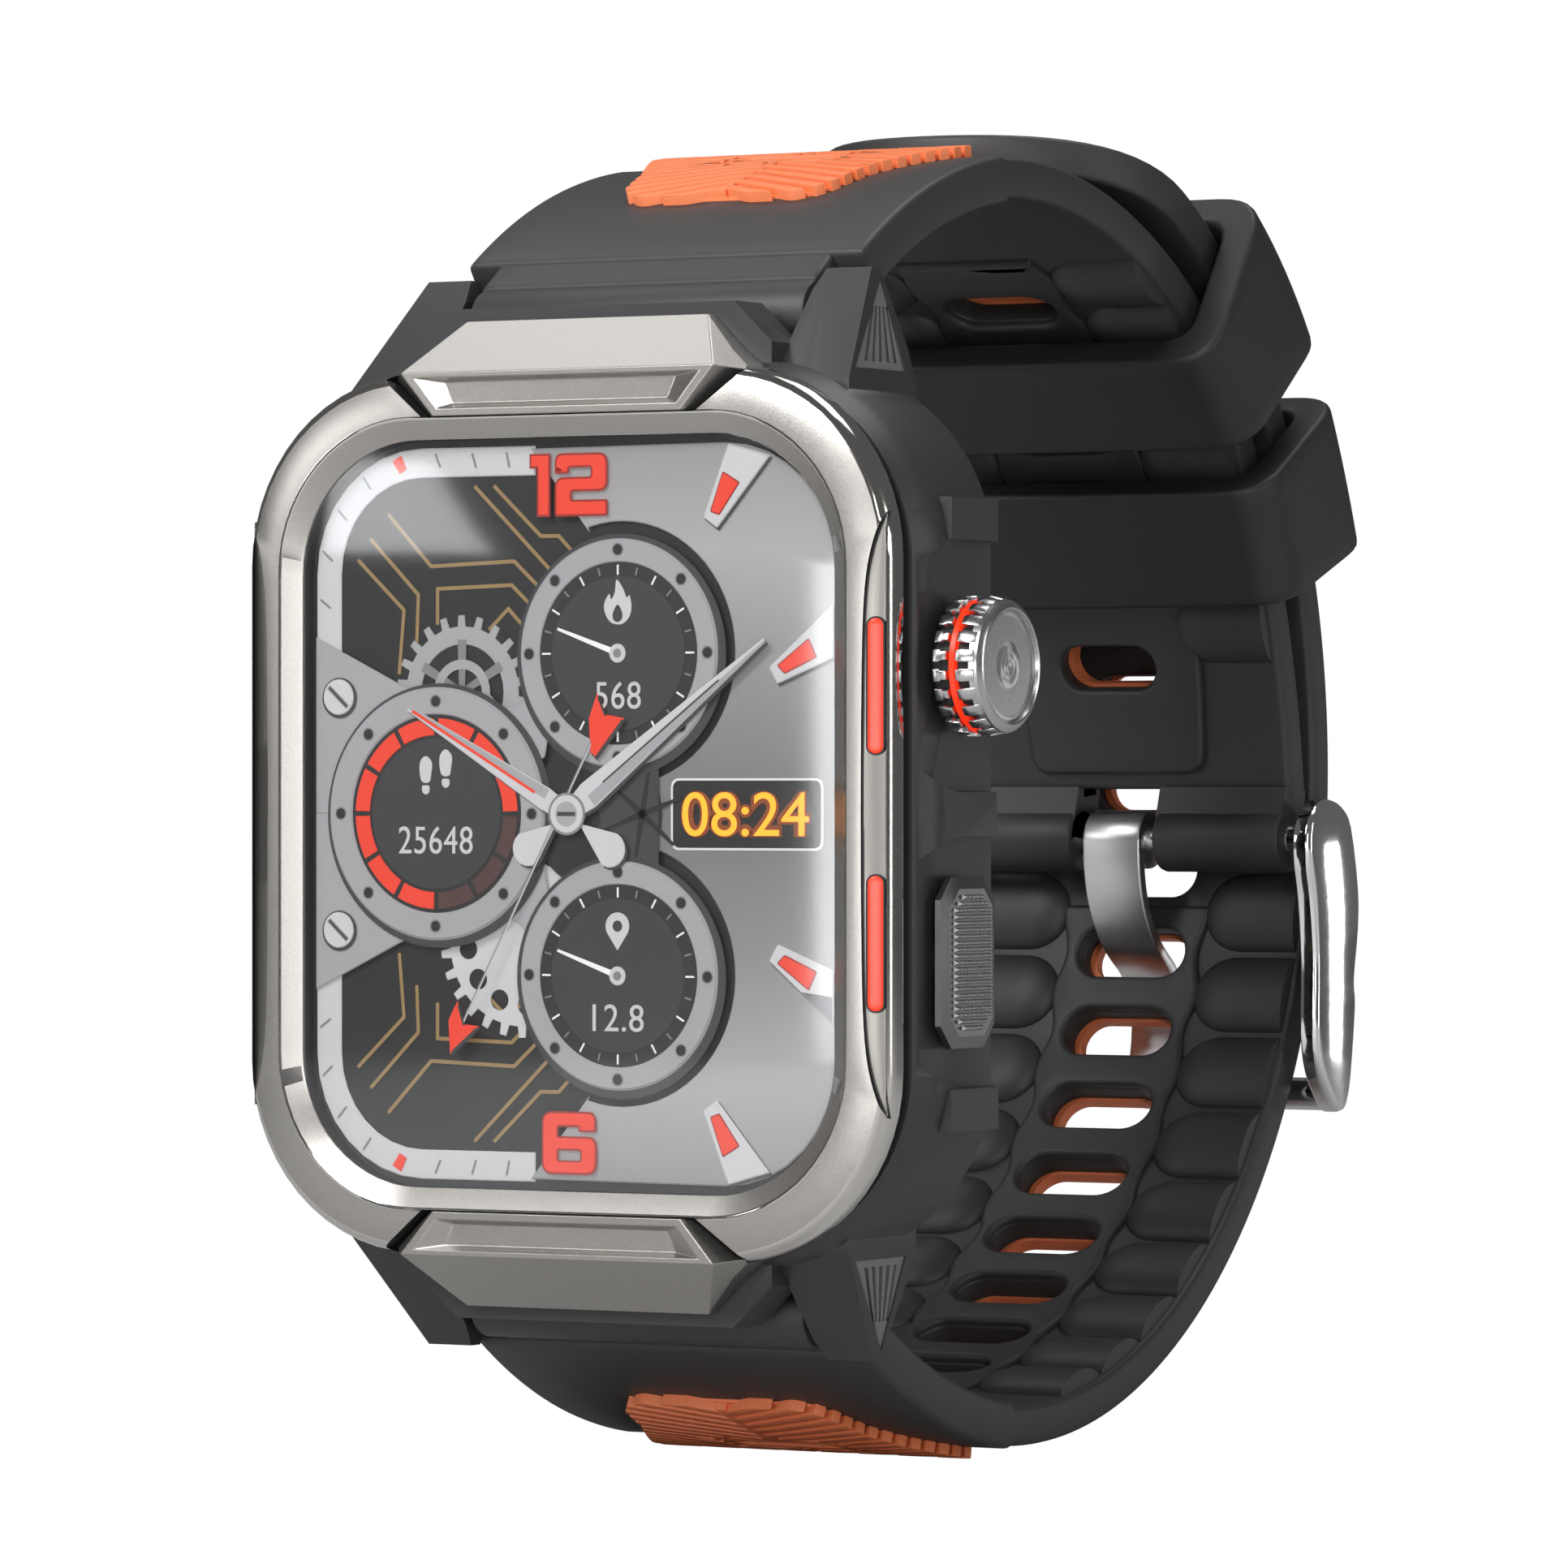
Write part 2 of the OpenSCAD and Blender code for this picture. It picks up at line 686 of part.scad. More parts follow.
// Rectangular loop around both strap layers, bent to the strap's arc
module keeper(arc, mid, w) {
  a = w / 2 / arc[2] * 180 / PI;
  d0 = -half_t - 1.35;
  d1 = layer_gap + half_t + 0.6;
  line = [concat(arc, [mid - a, mid + a])];
  wide = [concat(arc, [mid - a - 4, mid + a + 4])];
  difference() {
    layer(line, d0 - keeper_t, d1 + keeper_t, strap_w + 5.5);
    layer(wide, d0, d1, strap_w + 1.3);
  }
}

module keeper_upper() {
  color("#262628") seat() keeper(arc_b, 46, keeper_w);
}

module keeper_lower() {
  color("#262628") seat() keeper(arc_c, 25.2, keeper_w - 0.4);
}

bezel();
side_strip_right();
side_strip_left();
accent_bars();
end_cap_upper();
end_cap_lower();
mid_frame();
lug_grilles();
cover_glass();
glass_gasket();
display_panel();
inner_chassis();
main_board();
gps_module();
gps_antenna();
battery();
vibration_motor();
speaker();
sensor_board();
rear_cover();
rear_seal();
sensor_window();
charging_pins();
rear_screws();
crown_tube();
crown_seal();
crown_bracket();
crown_switch();
encoder_sleeve();
crown_stem();
crown_cap();
crown_ring();
crown_face();
side_button();
button_stem();
button_switch();
spring_bars();
strap_upper();
strap_upper_inlay();
strap_lower();
strap_lower_inlay();
buckle_bar();
buckle_frame();
buckle_tongue();
keeper_upper();
keeper_lower();
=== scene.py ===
import math
from math import cos, sin, radians, pi

import bmesh
import bpy
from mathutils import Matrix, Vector
from mathutils.geometry import delaunay_2d_cdt


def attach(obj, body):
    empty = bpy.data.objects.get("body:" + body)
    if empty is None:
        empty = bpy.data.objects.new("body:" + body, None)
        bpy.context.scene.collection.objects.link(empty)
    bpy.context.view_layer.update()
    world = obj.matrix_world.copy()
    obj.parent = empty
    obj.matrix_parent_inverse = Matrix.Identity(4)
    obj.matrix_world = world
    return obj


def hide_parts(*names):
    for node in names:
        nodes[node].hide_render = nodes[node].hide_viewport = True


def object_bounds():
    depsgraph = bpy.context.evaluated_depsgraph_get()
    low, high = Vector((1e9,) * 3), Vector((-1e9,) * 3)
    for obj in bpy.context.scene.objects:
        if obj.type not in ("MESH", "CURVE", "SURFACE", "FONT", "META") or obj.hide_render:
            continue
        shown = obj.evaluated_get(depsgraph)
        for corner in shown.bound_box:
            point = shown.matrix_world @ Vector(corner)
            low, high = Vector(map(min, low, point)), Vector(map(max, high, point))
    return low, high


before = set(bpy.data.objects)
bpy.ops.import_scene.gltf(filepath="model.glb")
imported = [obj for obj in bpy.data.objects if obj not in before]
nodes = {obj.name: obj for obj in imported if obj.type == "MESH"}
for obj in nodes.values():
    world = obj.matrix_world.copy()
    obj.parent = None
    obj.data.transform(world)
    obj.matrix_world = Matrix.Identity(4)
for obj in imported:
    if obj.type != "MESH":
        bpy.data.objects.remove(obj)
cad_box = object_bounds()

# Everything below is drawn in millimetres with the glass at y = 0, as in the CAD source,
# and moved back by the case depth into the part's own frame.
DEPTH = 12.6


def P(x, y, z):
    """A point in metres in the part's frame."""
    return Vector((x / 1000, (y - DEPTH) / 1000, z / 1000))


# ---------------------------------------------------------------- materials

def material(name, color, rough, metal=0.0, **extra):
    """A plain surface; extra gives more of the shader's inputs by name."""
    m = bpy.data.materials.new(name)
    m.use_nodes = True
    b = m.node_tree.nodes["Principled BSDF"]
    b.inputs["Base Color"].default_value = (*color, 1)
    b.inputs["Roughness"].default_value = rough
    b.inputs["Metallic"].default_value = metal
    for key, value in extra.items():
        b.inputs[key.replace("_", " ")].default_value = value
    return m


def wire(m, a, out, b, inp):
    """Joins output out of node a to input inp of node b."""
    m.node_tree.links.new(a.outputs[out], b.inputs[inp])


def node(m, kind, **props):
    """A new node; in_Name sets the input called Name."""
    n = m.node_tree.nodes.new(kind)
    for key, value in props.items():
        if key.startswith("in_"):
            n.inputs[key[3:].replace("_", " ")].default_value = value
        else:
            setattr(n, key, value)
    return n


def grain(m, scale, strength, stretch=(1, 1, 1), rough=None, tint=None):
    """Fine surface grain: bump, and a little change of roughness and colour."""
    b = m.node_tree.nodes["Principled BSDF"]
    co = node(m, "ShaderNodeTexCoord")
    mp = node(m, "ShaderNodeMapping")
    mp.inputs["Scale"].default_value = stretch
    wire(m, co, "Object", mp, "Vector")
    n = node(m, "ShaderNodeTexNoise", in_Scale=scale, in_Detail=3.0)
    wire(m, mp, "Vector", n, "Vector")
    bump = node(m, "ShaderNodeBump", in_Strength=strength, in_Distance=0.00002)
    wire(m, n, "Fac", bump, "Height")
    wire(m, bump, "Normal", b, "Normal")
    if rough:
        r = node(m, "ShaderNodeMapRange")
        r.inputs["To Min"].default_value, r.inputs["To Max"].default_value = rough
        wire(m, n, "Fac", r, "Value")
        wire(m, r, "Result", b, "Roughness")
    if tint:
        ramp = node(m, "ShaderNodeValToRGB")
        ramp.color_ramp.elements[0].position = 0.35
        ramp.color_ramp.elements[1].position = 0.65
        ramp.color_ramp.elements[0].color = (*tint[0], 1)
        ramp.color_ramp.elements[1].color = (*tint[1], 1)
        wire(m, n, "Fac", ramp, "Fac")
        wire(m, ramp, "Color", b, "Base Color")
    return m


def surface(name, color, rough, metal, scale, strength, spread, tint=None):
    """A material with grain; its roughness varies over spread."""
    return grain(material(name, color, rough, metal), scale, strength, rough=spread, tint=tint)


titanium = surface("titanium_satin", (0.40, 0.385, 0.365), 0.34, 1.0, 9000, 0.25, (0.29, 0.40),
                   tint=((0.385, 0.37, 0.35), (0.425, 0.41, 0.39)))
polished = surface("titanium_polished", (0.62, 0.60, 0.58), 0.10, 1.0, 5000, 0.05, (0.08, 0.13))
strip_metal = grain(material("strip_metal", (0.235, 0.225, 0.21), 0.36, 1.0), 5000, 0.2,
                    stretch=(1, 1, 0.05), rough=(0.3, 0.42))
case_black = surface("case_black", (0.026, 0.027, 0.030), 0.42, 0.0, 12000, 0.22, (0.38, 0.50))
case_smooth = surface("case_smooth", (0.03, 0.03, 0.032), 0.30, 0.0, 8000, 0.1, (0.26, 0.36))
grille_black = surface("grille_black", (0.14, 0.14, 0.145), 0.40, 0.0, 12000, 0.2, (0.4, 0.5))
# Near black that stands in for shade: painted shade in gaps and recesses, and on the bezel's inner
# wall and back, where shade falls.
painted_shade_black = surface("painted_shade_black", (0.006, 0.006, 0.006), 0.6, 0.0, 6000, 0.1, (0.5, 0.7))
rubber = surface("strap_rubber", (0.030, 0.030, 0.031), 0.50, 0.0, 14000, 0.30, (0.44, 0.58),
                 tint=((0.027, 0.027, 0.028), (0.036, 0.036, 0.037)))
keeper_rubber = surface("keeper_rubber", (0.016, 0.016, 0.017), 0.5, 0.0, 12000, 0.25, (0.45, 0.58))
orange = surface("inlay_orange", (0.80, 0.205, 0.075), 0.5, 0.0, 12000, 0.22, (0.44, 0.58),
                 tint=((0.78, 0.195, 0.07), (0.85, 0.225, 0.085)))
red_with_painted_glow = surface("accent_red", (0.92, 0.03, 0.006), 0.28, 0.0, 8000, 0.05, (0.24, 0.34))
red_glow_shader = red_with_painted_glow.node_tree.nodes["Principled BSDF"]
# The red bars and the crown's red ring glow a little though they are no lamp: painted glow.
red_glow_shader.inputs["Emission Color"].default_value = (1, 0.03, 0.005, 1)
red_glow_shader.inputs["Emission Strength"].default_value = 0.55
crown_steel = surface("crown_steel", (0.50, 0.50, 0.51), 0.26, 1.0, 6000, 0.02, (0.22, 0.30))
gunmetal = surface("gunmetal", (0.21, 0.21, 0.215), 0.33, 1.0, 7000, 0.05, (0.28, 0.4))
chrome = surface("buckle_chrome", (0.82, 0.82, 0.83), 0.07, 1.0, 4000, 0.03, (0.05, 0.09))
tongue_steel = surface("tongue_steel", (0.72, 0.72, 0.73), 0.34, 1.0, 9000, 0.04, (0.30, 0.40))
seal = surface("seal_black", (0.008, 0.008, 0.008), 0.55, 0.0, 8000, 0.2, (0.5, 0.62))
inner_metal = surface("inner_metal", (0.5, 0.5, 0.51), 0.4, 1.0, 4000, 0.2, (0.35, 0.45))
gold = surface("contact_gold", (0.80, 0.60, 0.25), 0.25, 1.0, 6000, 0.1, (0.2, 0.3))
board_green = surface("board_green", (0.02, 0.16, 0.07), 0.4, 0.0, 3000, 0.1, (0.35, 0.45))
battery_wrap = surface("battery_wrap", (0.10, 0.13, 0.22), 0.35, 0.0, 2500, 0.15, (0.3, 0.4))
sensor_glass = surface("sensor_glass", (0.006, 0.006, 0.008), 0.06, 0.0, 2000, 0.02, (0.05, 0.08))
glass = material("cover_glass", (0.92, 0.94, 0.96), 0.12, 1.0, Alpha=0.07)
grain(glass, 1500, 0.005, rough=(0.09, 0.12))


def spun(name, color, rough, centre):
    """Metal turned in fine rings round the X axis through centre, which scatter light across
    the rings, so the highlights fan out from the middle."""
    m = material(name, color, rough, 1.0)
    b = m.node_tree.nodes["Principled BSDF"]
    co = node(m, "ShaderNodeTexCoord")
    mp = node(m, "ShaderNodeMapping")
    mp.inputs["Location"].default_value = [-c for c in centre]
    wire(m, co, "Object", mp, "Vector")
    rings = node(m, "ShaderNodeTexWave", wave_type="RINGS", rings_direction="X")
    rings.inputs["Scale"].default_value = 900
    wire(m, mp, "Vector", rings, "Vector")
    bump = node(m, "ShaderNodeBump", in_Strength=0.3, in_Distance=0.00001)
    wire(m, rings, "Fac", bump, "Height")
    wire(m, bump, "Normal", b, "Normal")
    tangent = node(m, "ShaderNodeTangent", direction_type="RADIAL", axis="X")
    wire(m, tangent, "Tangent", b, "Tangent")
    b.inputs["Anisotropic"].default_value = 0.98
    return m


# ---------------------------------------------------------------- mesh tools

def finish_mesh(name, bm, mats, sharp=38):
    """Turns bm into an object with a material or a list of them; edges over sharp stay hard."""
    me = bpy.data.meshes.new(name)
    bmesh.ops.recalc_face_normals(bm, faces=bm.faces)
    bm.to_mesh(me)
    bm.free()
    for p in me.polygons:
        p.use_smooth = True
    me.set_sharp_from_angle(angle=radians(sharp))
    for m in (mats if isinstance(mats, list) else [mats]):
        me.materials.append(m)
    o = bpy.data.objects.new(name, me)
    bpy.context.scene.collection.objects.link(o)
    return o


def place(o, body, slot, *replaced):
    """Hangs a piece on its body and hides the CAD nodes that it stands for; slot is not used."""
    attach(o, body)
    if replaced:
        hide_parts(*replaced)
    return o


def area2(loop):
    """Signed area of a closed outline."""
    return sum(a[0] * b[1] - b[0] * a[1] for a, b in zip(loop, loop[1:] + loop[:1])) / 2


def inset(loop, d):
    """Moves a closed loop by d to its left, with mitred corners."""
    out, n = [], len(loop)
    for i in range(n):
        a, b, c = (Vector(loop[j % n]) for j in (i - 1, i, i + 1))
        u, v = (b - a).normalized(), (c - b).normalized()
        nu, nv = Vector((-u.y, u.x)), Vector((-v.y, v.x))
        k = nu + nv
        if k.length < 1e-6:
            k = nu
        k = k / max(0.35, k.dot(nu))
        out.append((b.x + k.x * d, b.y + k.y * d))
    return out


def plate(loops, w0, w1, place3, bevel=(0.1, 0.1), seg=2, grid=None, bm=None, mat=0):
    """A solid between depths w0 and w1 with the given outline and holes, in the 2D plane
    (u, v), its edges rounded by bevel (at w0, at w1). place3(u, v, w) gives the point.
    grid is the spacing of extra points, so that a wide plate can bend."""
    bm = bm or bmesh.new()
    fixed = []
    for i, loop in enumerate(loops):
        loop = [tuple(p) for p in loop]
        if (area2(loop) > 0) != (i == 0):
            loop = loop[::-1]
        fixed.append(loop)
    sides = []
    for end, (w, b) in enumerate(((w0, bevel[0]), (w1, bevel[1]))):
        sgn = 1 if end == 0 else -1
        rings = []
        steps = seg if b > 0 else 0
        for k in range(steps + 1):
            t = k / steps * pi / 2 if steps else pi / 2
            rings.append([(inset(l, b * (1 - sin(t))) if b > 0 and k < steps else l,
                           w + sgn * b * (1 - cos(t))) for l in fixed])
        sides.append(rings)

    def add(p, w):
        return bm.verts.new(place3(p[0], p[1], w))

    va, vb = ([[[add(p, w) for p in l] for l, w in level] for level in rings]
              for rings in sides)
    chain_levels = va + vb[::-1]
    for lo, hi in zip(chain_levels, chain_levels[1:]):
        for la, lb in zip(lo, hi):
            n = len(la)
            for j in range(n):
                f = bm.faces.new((la[j], la[(j + 1) % n], lb[(j + 1) % n], lb[j]))
                f.material_index = mat
    for rings, verts, w in ((sides[0], va[0], w0), (sides[1], vb[0], w1)):
        pts, edges, flat = [], [], []
        for (l, _), vs in zip(rings[0], verts):
            base = len(pts)
            pts += [Vector(p) for p in l]
            flat += vs
            edges += [(base + j, base + (j + 1) % len(l)) for j in range(len(l))]
        given = len(pts)
        outer, *holes = [loop for loop, _ in rings[0]]
        if grid:
            us = [p.x for p in pts]
            ws = [p.y for p in pts]
            gu, gv = grid if isinstance(grid, tuple) else (grid, grid)
            nu = int((max(us) - min(us)) / gu)
            nv = int((max(ws) - min(ws)) / gv)
            for i in range(1, nu + 1):
                for j in range(1, nv + 1):
                    q = (min(us) + (max(us) - min(us)) * i / (nu + 1),
                         min(ws) + (max(ws) - min(ws)) * j / (nv + 1))
                    if inside(q, outer) and not any(inside(q, h) for h in holes):
                        pts.append(Vector(q))
        out_pts, _, out_faces, orig, _, _ = delaunay_2d_cdt(pts, edges, [], 0, 1e-6)
        made = {}
        for i, src in enumerate(orig):
            keep = [s for s in src if s < given]
            if keep:
                made[i] = flat[keep[0]]
        for f in out_faces:
            c = sum((Vector(out_pts[i]) for i in f), Vector((0, 0))) / len(f)
            if not inside(c, outer) or any(inside(c, h) for h in holes):
                continue
            for i in f:
                if i not in made:
                    made[i] = add(out_pts[i], w)
            vs = [made[i] for i in f]
            if len(set(vs)) == len(vs):
                try:
                    bm.faces.new(vs).material_index = mat
                except ValueError:
                    pass
    return bm


def inside(p, loop):
    """Whether a point lies inside an outline."""
    x, y = p[0], p[1]
    hit = False
    n = len(loop)
    j = n - 1
    for i in range(n):
        xi, yi = loop[i][0], loop[i][1]
        xj, yj = loop[j][0], loop[j][1]
        if (yi > y) != (yj > y) and x < (xj - xi) * (y - yi) / (yj - yi) + xi:
            hit = not hit
        j = i
    return hit


def front(u, v, w):
    """Plane seen from the front: u right, v up, w back."""
    return P(u, w, v)


def arc(x, y, r, a0, a1, n=24):
    """Points from angle a0 to a1, in degrees, both ends included."""
    return [(x + r * cos(radians(a0 + (a1 - a0) * i / n)),
             y + r * sin(radians(a0 + (a1 - a0) * i / n))) for i in range(n + 1)]


def circle(x, y, r, n=48):
    return arc(x, y, r, 0, 360, n)[:-1]


def rrect(w, h, r, n=8, x=0, y=0):
    """Rounded rectangle, corner by corner from the one at +x, +y."""
    out = []
    for cx, cy, a in ((1, 1, 0), (-1, 1, 90), (-1, -1, 180), (1, -1, 270)):
        for i in range(n + 1):
            t = radians(a + 90 * i / n)
            out.append((x + cx * (w / 2 - r) + r * cos(t), y + cy * (h / 2 - r) + r * sin(t)))
    return out


def stadium(w, h, n=8, x=0, y=0):
    """Rectangle with its short sides fully round."""
    return rrect(w, h, min(w, h) / 2 - 1e-4, n, x, y)


def rounded_poly(pts, r, n=4):
    """Polygon with its corners rounded. r is one radius, or one for each corner."""
    out, m = [], len(pts)
    rs = r if isinstance(r, (list, tuple)) else [r] * m
    for i in range(m):
        a, b, c = (Vector(pts[j % m]) for j in (i - 1, i, i + 1))
        u, v = (a - b), (c - b)
        t = min(rs[i], u.length * 0.45, v.length * 0.45)
        if t <= 1e-5:
            out.append(tuple(b))
            continue
        p, q = b + u.normalized() * t, b + v.normalized() * t
        for k in range(n + 1):
            s = k / n
            w = p * (1 - s) ** 2 + b * 2 * s * (1 - s) + q * s * s
            out.append((w.x, w.y))
    return out


def dense(loop, step):
    """Adds points along the long sides of an outline."""
    out, n = [], len(loop)
    for i in range(n):
        a, b = Vector(loop[i]), Vector(loop[(i + 1) % n])
        k = max(1, int((b - a).length / step))
        out += [tuple(a + (b - a) * j / k) for j in range(k)]
    return out


def smooth_path(pts, k=6, closed=False):
    """Curve through the points."""
    out, n = [], len(pts)
    for i in range(n if closed else n - 1):
        p = [Vector(pts[(i + j) % n] if closed else pts[min(max(i + j, 0), n - 1)])
             for j in (-1, 0, 1, 2)]
        for q in range(k):
            t = q / k
            v = 0.5 * (2 * p[1] + (p[2] - p[0]) * t + (2 * p[0] - 5 * p[1] + 4 * p[2] - p[3]) * t * t
                       + (3 * p[1] - p[0] - 3 * p[2] + p[3]) * t ** 3)
            out.append((v.x, v.y))
    if not closed:
        out.append(tuple(pts[-1]))
    return out


def skin(bm, lo, hi, mat=0):
    """Faces between two rings of vertices."""
    n = len(lo)
    for j in range(n):
        bm.faces.new((lo[j], lo[(j + 1) % n], hi[(j + 1) % n], hi[j])).material_index = mat


def lofted(rings, mat=0, bm=None):
    """Skin over closed rings of points, each the same length, with flat ends."""
    bm = bm or bmesh.new()
    vs = [[bm.verts.new(p) for p in ring] for ring in rings]
    for lo, hi in zip(vs, vs[1:]):
        skin(bm, lo, hi, mat)
    bm.faces.new(vs[0]).material_index = mat
    bm.faces.new(vs[-1]).material_index = mat
    return bm


def lathe(profile, y, z, n=96, bm=None, mat=0):
    """Turned round the X axis through (y, z); profile is (x, r) pairs."""
    rings = [[P(x, y + r * cos(2 * pi * i / n), z + r * sin(2 * pi * i / n))
              for i in range(n)] for x, r in profile]
    return lofted(rings, mat, bm)


def box_bm(bm, corners):
    """A hexahedron from 8 points: four of one face, then the four opposite them."""
    v = [bm.verts.new(c) for c in corners]
    for f in ((0, 1, 2, 3), (7, 6, 5, 4), (0, 4, 5, 1), (1, 5, 6, 2), (2, 6, 7, 3), (3, 7, 4, 0)):
        bm.faces.new([v[i] for i in f])
    return bm


def round_edges(o, width, seg, angle):
    """Rounds the edges of o that are sharper than angle."""
    mod = o.modifiers.new("edges", "BEVEL")
    mod.width, mod.segments = width / 1000, seg
    mod.limit_method, mod.angle_limit = "ANGLE", radians(angle)
    mod.use_clamp_overlap, mod.harden_normals = True, True


def refined(cad, mat, width, seg):
    """A copy of a CAD node's mesh with its flats joined and its edges rounded."""
    bm = bmesh.new()
    bm.from_mesh(nodes[cad].data)
    bmesh.ops.remove_doubles(bm, verts=bm.verts, dist=0.000003)
    bmesh.ops.dissolve_limit(bm, angle_limit=radians(1.0), verts=bm.verts, edges=bm.edges)
    o = finish_mesh(cad + "_shape", bm, mat, 30)
    round_edges(o, width, seg, 30)
    return o


# ---------------------------------------------------------------- plain CAD nodes

for names, mat in (
        (("inner_chassis", "vibration_motor", "crown_bracket", "crown_tube", "spring_bars",
          "rear_screws", "button_stem", "crown_stem", "gps_antenna"), inner_metal),
        (("main_board", "sensor_board"), board_green),
        (("gps_module",), polished),
        (("battery",), battery_wrap),
        (("speaker", "crown_switch", "button_switch", "encoder_sleeve"), case_smooth),
        (("glass_gasket", "rear_seal", "crown_seal"), seal),
        (("charging_pins",), gold),
        (("sensor_window",), sensor_glass)):
    for name in names:
        o = nodes[name]
        o.data.materials.clear()
        o.data.materials.append(mat)


# ---------------------------------------------------------------- bezel and end caps

def lens(d):
    """The strip at the side: a straight outer edge and a bowed inner one, made smaller by d."""
    edge = smooth_path([(19.35, -15.5), (19.05, -14.8), (18.7, -13.7), (18.42, -12.2),
                        (18.26, -10), (18.18, -6), (18.15, 0), (18.18, 6), (18.26, 10),
                        (18.42, 12.2), (18.7, 13.7), (19.05, 14.8), (19.35, 15.5)], 3)
    return inset(dense(edge, 1.0), -d)


# The fourth material, near black, is painted shade on the bezel's back and on its inner wall down to
# the display.
BEZEL = (  # half widths, corner radius, y, and the material below each ring
    (16.25, 19.75, 7.15, 0.02, 0), (16.27, 19.77, 7.15, -0.06, 0),
    (16.36, 19.88, 7.25, -0.13, 0), (17.20, 20.78, 8.02, -0.70, 1), (17.26, 20.86, 8.08, -0.742, 1),
    (17.36, 20.96, 8.14, -0.75, 2), (19.12, 22.70, 9.60, -0.40, 1), (19.26, 22.86, 9.70, -0.33, 1),
    (19.42, 23.02, 9.84, -0.16, 1), (19.56, 23.16, 9.96, 0.08, 1), (19.65, 23.25, 10.04, 0.36, 1),
    (19.70, 23.30, 10.10, 0.60, 1), (19.70, 23.30, 10.10, 1.04, 1), (19.66, 23.26, 10.06, 1.12, 3),
    (19.20, 22.80, 9.60, 1.20, 3), (19.20, 22.80, 9.60, 1.70, 3), (17.0, 20.5, 7.9, 1.70, 3),
    (16.95, 20.45, 7.85, 0.02, 3))
bm = bmesh.new()
vs = [[bm.verts.new(P(x, y, z)) for x, z in rrect(2 * hx, 2 * hz, r, 14)]
      for hx, hz, r, y, _ in BEZEL]
for lo, hi, ring in zip(vs, vs[1:] + vs[:1], BEZEL):
    skin(bm, lo, hi, ring[4])
bezel = finish_mesh("bezel_shape", bm, [titanium, polished, titanium, painted_shade_black], 24)


def cut_away(o, cutters):
    """Takes prisms out of a piece, and rounds the edges that leaves."""
    holders = []
    for loop, y0, y1 in cutters:
        c = finish_mesh("cutter", plate([loop], y0, y1, front, (0.0, 0.0), 1), painted_shade_black)
        mod = o.modifiers.new("cut", "BOOLEAN")
        mod.object, mod.solver = c, "EXACT"
        holders.append(c)
    bpy.context.view_layer.update()
    me = bpy.data.meshes.new_from_object(o.evaluated_get(bpy.context.evaluated_depsgraph_get()))
    o.modifiers.clear()
    o.data = me
    for c in holders:
        bpy.data.objects.remove(c)
    bm = bmesh.new()
    bm.from_mesh(me)
    bmesh.ops.remove_doubles(bm, verts=bm.verts, dist=0.000002)
    bmesh.ops.dissolve_limit(bm, angle_limit=radians(0.3), verts=bm.verts, edges=bm.edges)
    bm.to_mesh(me)
    bm.free()
    for p in me.polygons:
        p.use_smooth = True
    me.set_sharp_from_angle(angle=radians(24))
    round_edges(o, 0.05, 2, 50)


CAP = [(-8.3, 20.95), (8.3, 20.95), (10.9, 23.0), (9.4, 24.1), (7.4, 26.1), (-7.4, 26.1),
       (-9.4, 24.1), (-10.9, 23.0)]
lens_cut = lens(-0.04)
cap_cut = inset(CAP, -0.07)
cut_away(bezel, [(cap_cut, -2, 3), ([(x, -z) for x, z in cap_cut], -2, 3),
                 (lens_cut, -2, 0.6), ([(-x, z) for x, z in lens_cut], -2, 0.6)])
place(bezel, "case", "titanium", "bezel")

for sx, name in ((1, "side_strip_right"), (-1, "side_strip_left")):
    def strip_at(u, v, w):
        slope = -0.45 + max(0.0, u - 18) * 0.40
        return P(sx * u, slope + w, v)

    # A near-black plate behind each strip: painted shade in the gap round it.
    gap = plate([lens(-0.06)], -0.06, 0.5, strip_at, (0.0, 0.0))
    place(finish_mesh(name + "_gap", gap, painted_shade_black), "case", "strip_metal", name)
    bm = plate([lens(0.03)], -0.10, 0.4, strip_at, (0.07, 0.0), 2)
    place(finish_mesh(name + "_shape", bm, strip_metal, 30), "case", "strip_metal")

BAR_X, BAR_Z = 18.83, 6.6


def bar_at(u, v, w):
    return P(u, -0.44 + (u - 18.42) * 0.30 + w, v)


# The red bars, which glow a little (painted glow), each over a slightly larger near-black stadium:
# painted shade in its recess.
bm = bmesh.new()
for z in (BAR_Z, -BAR_Z):
    plate([stadium(0.96, 7.12, 10, BAR_X, z)], -0.02, 0.5, bar_at, (0.0, 0.0), 1, bm=bm, mat=1)
    plate([stadium(0.80, 6.96, 10, BAR_X, z)], -0.09, 0.5, bar_at, (0.13, 0.0), 3, bm=bm)
place(finish_mesh("accent_bars_shape", bm, [red_with_painted_glow, painted_shade_black], 40), "case", "accent_red",
      "accent_bars")


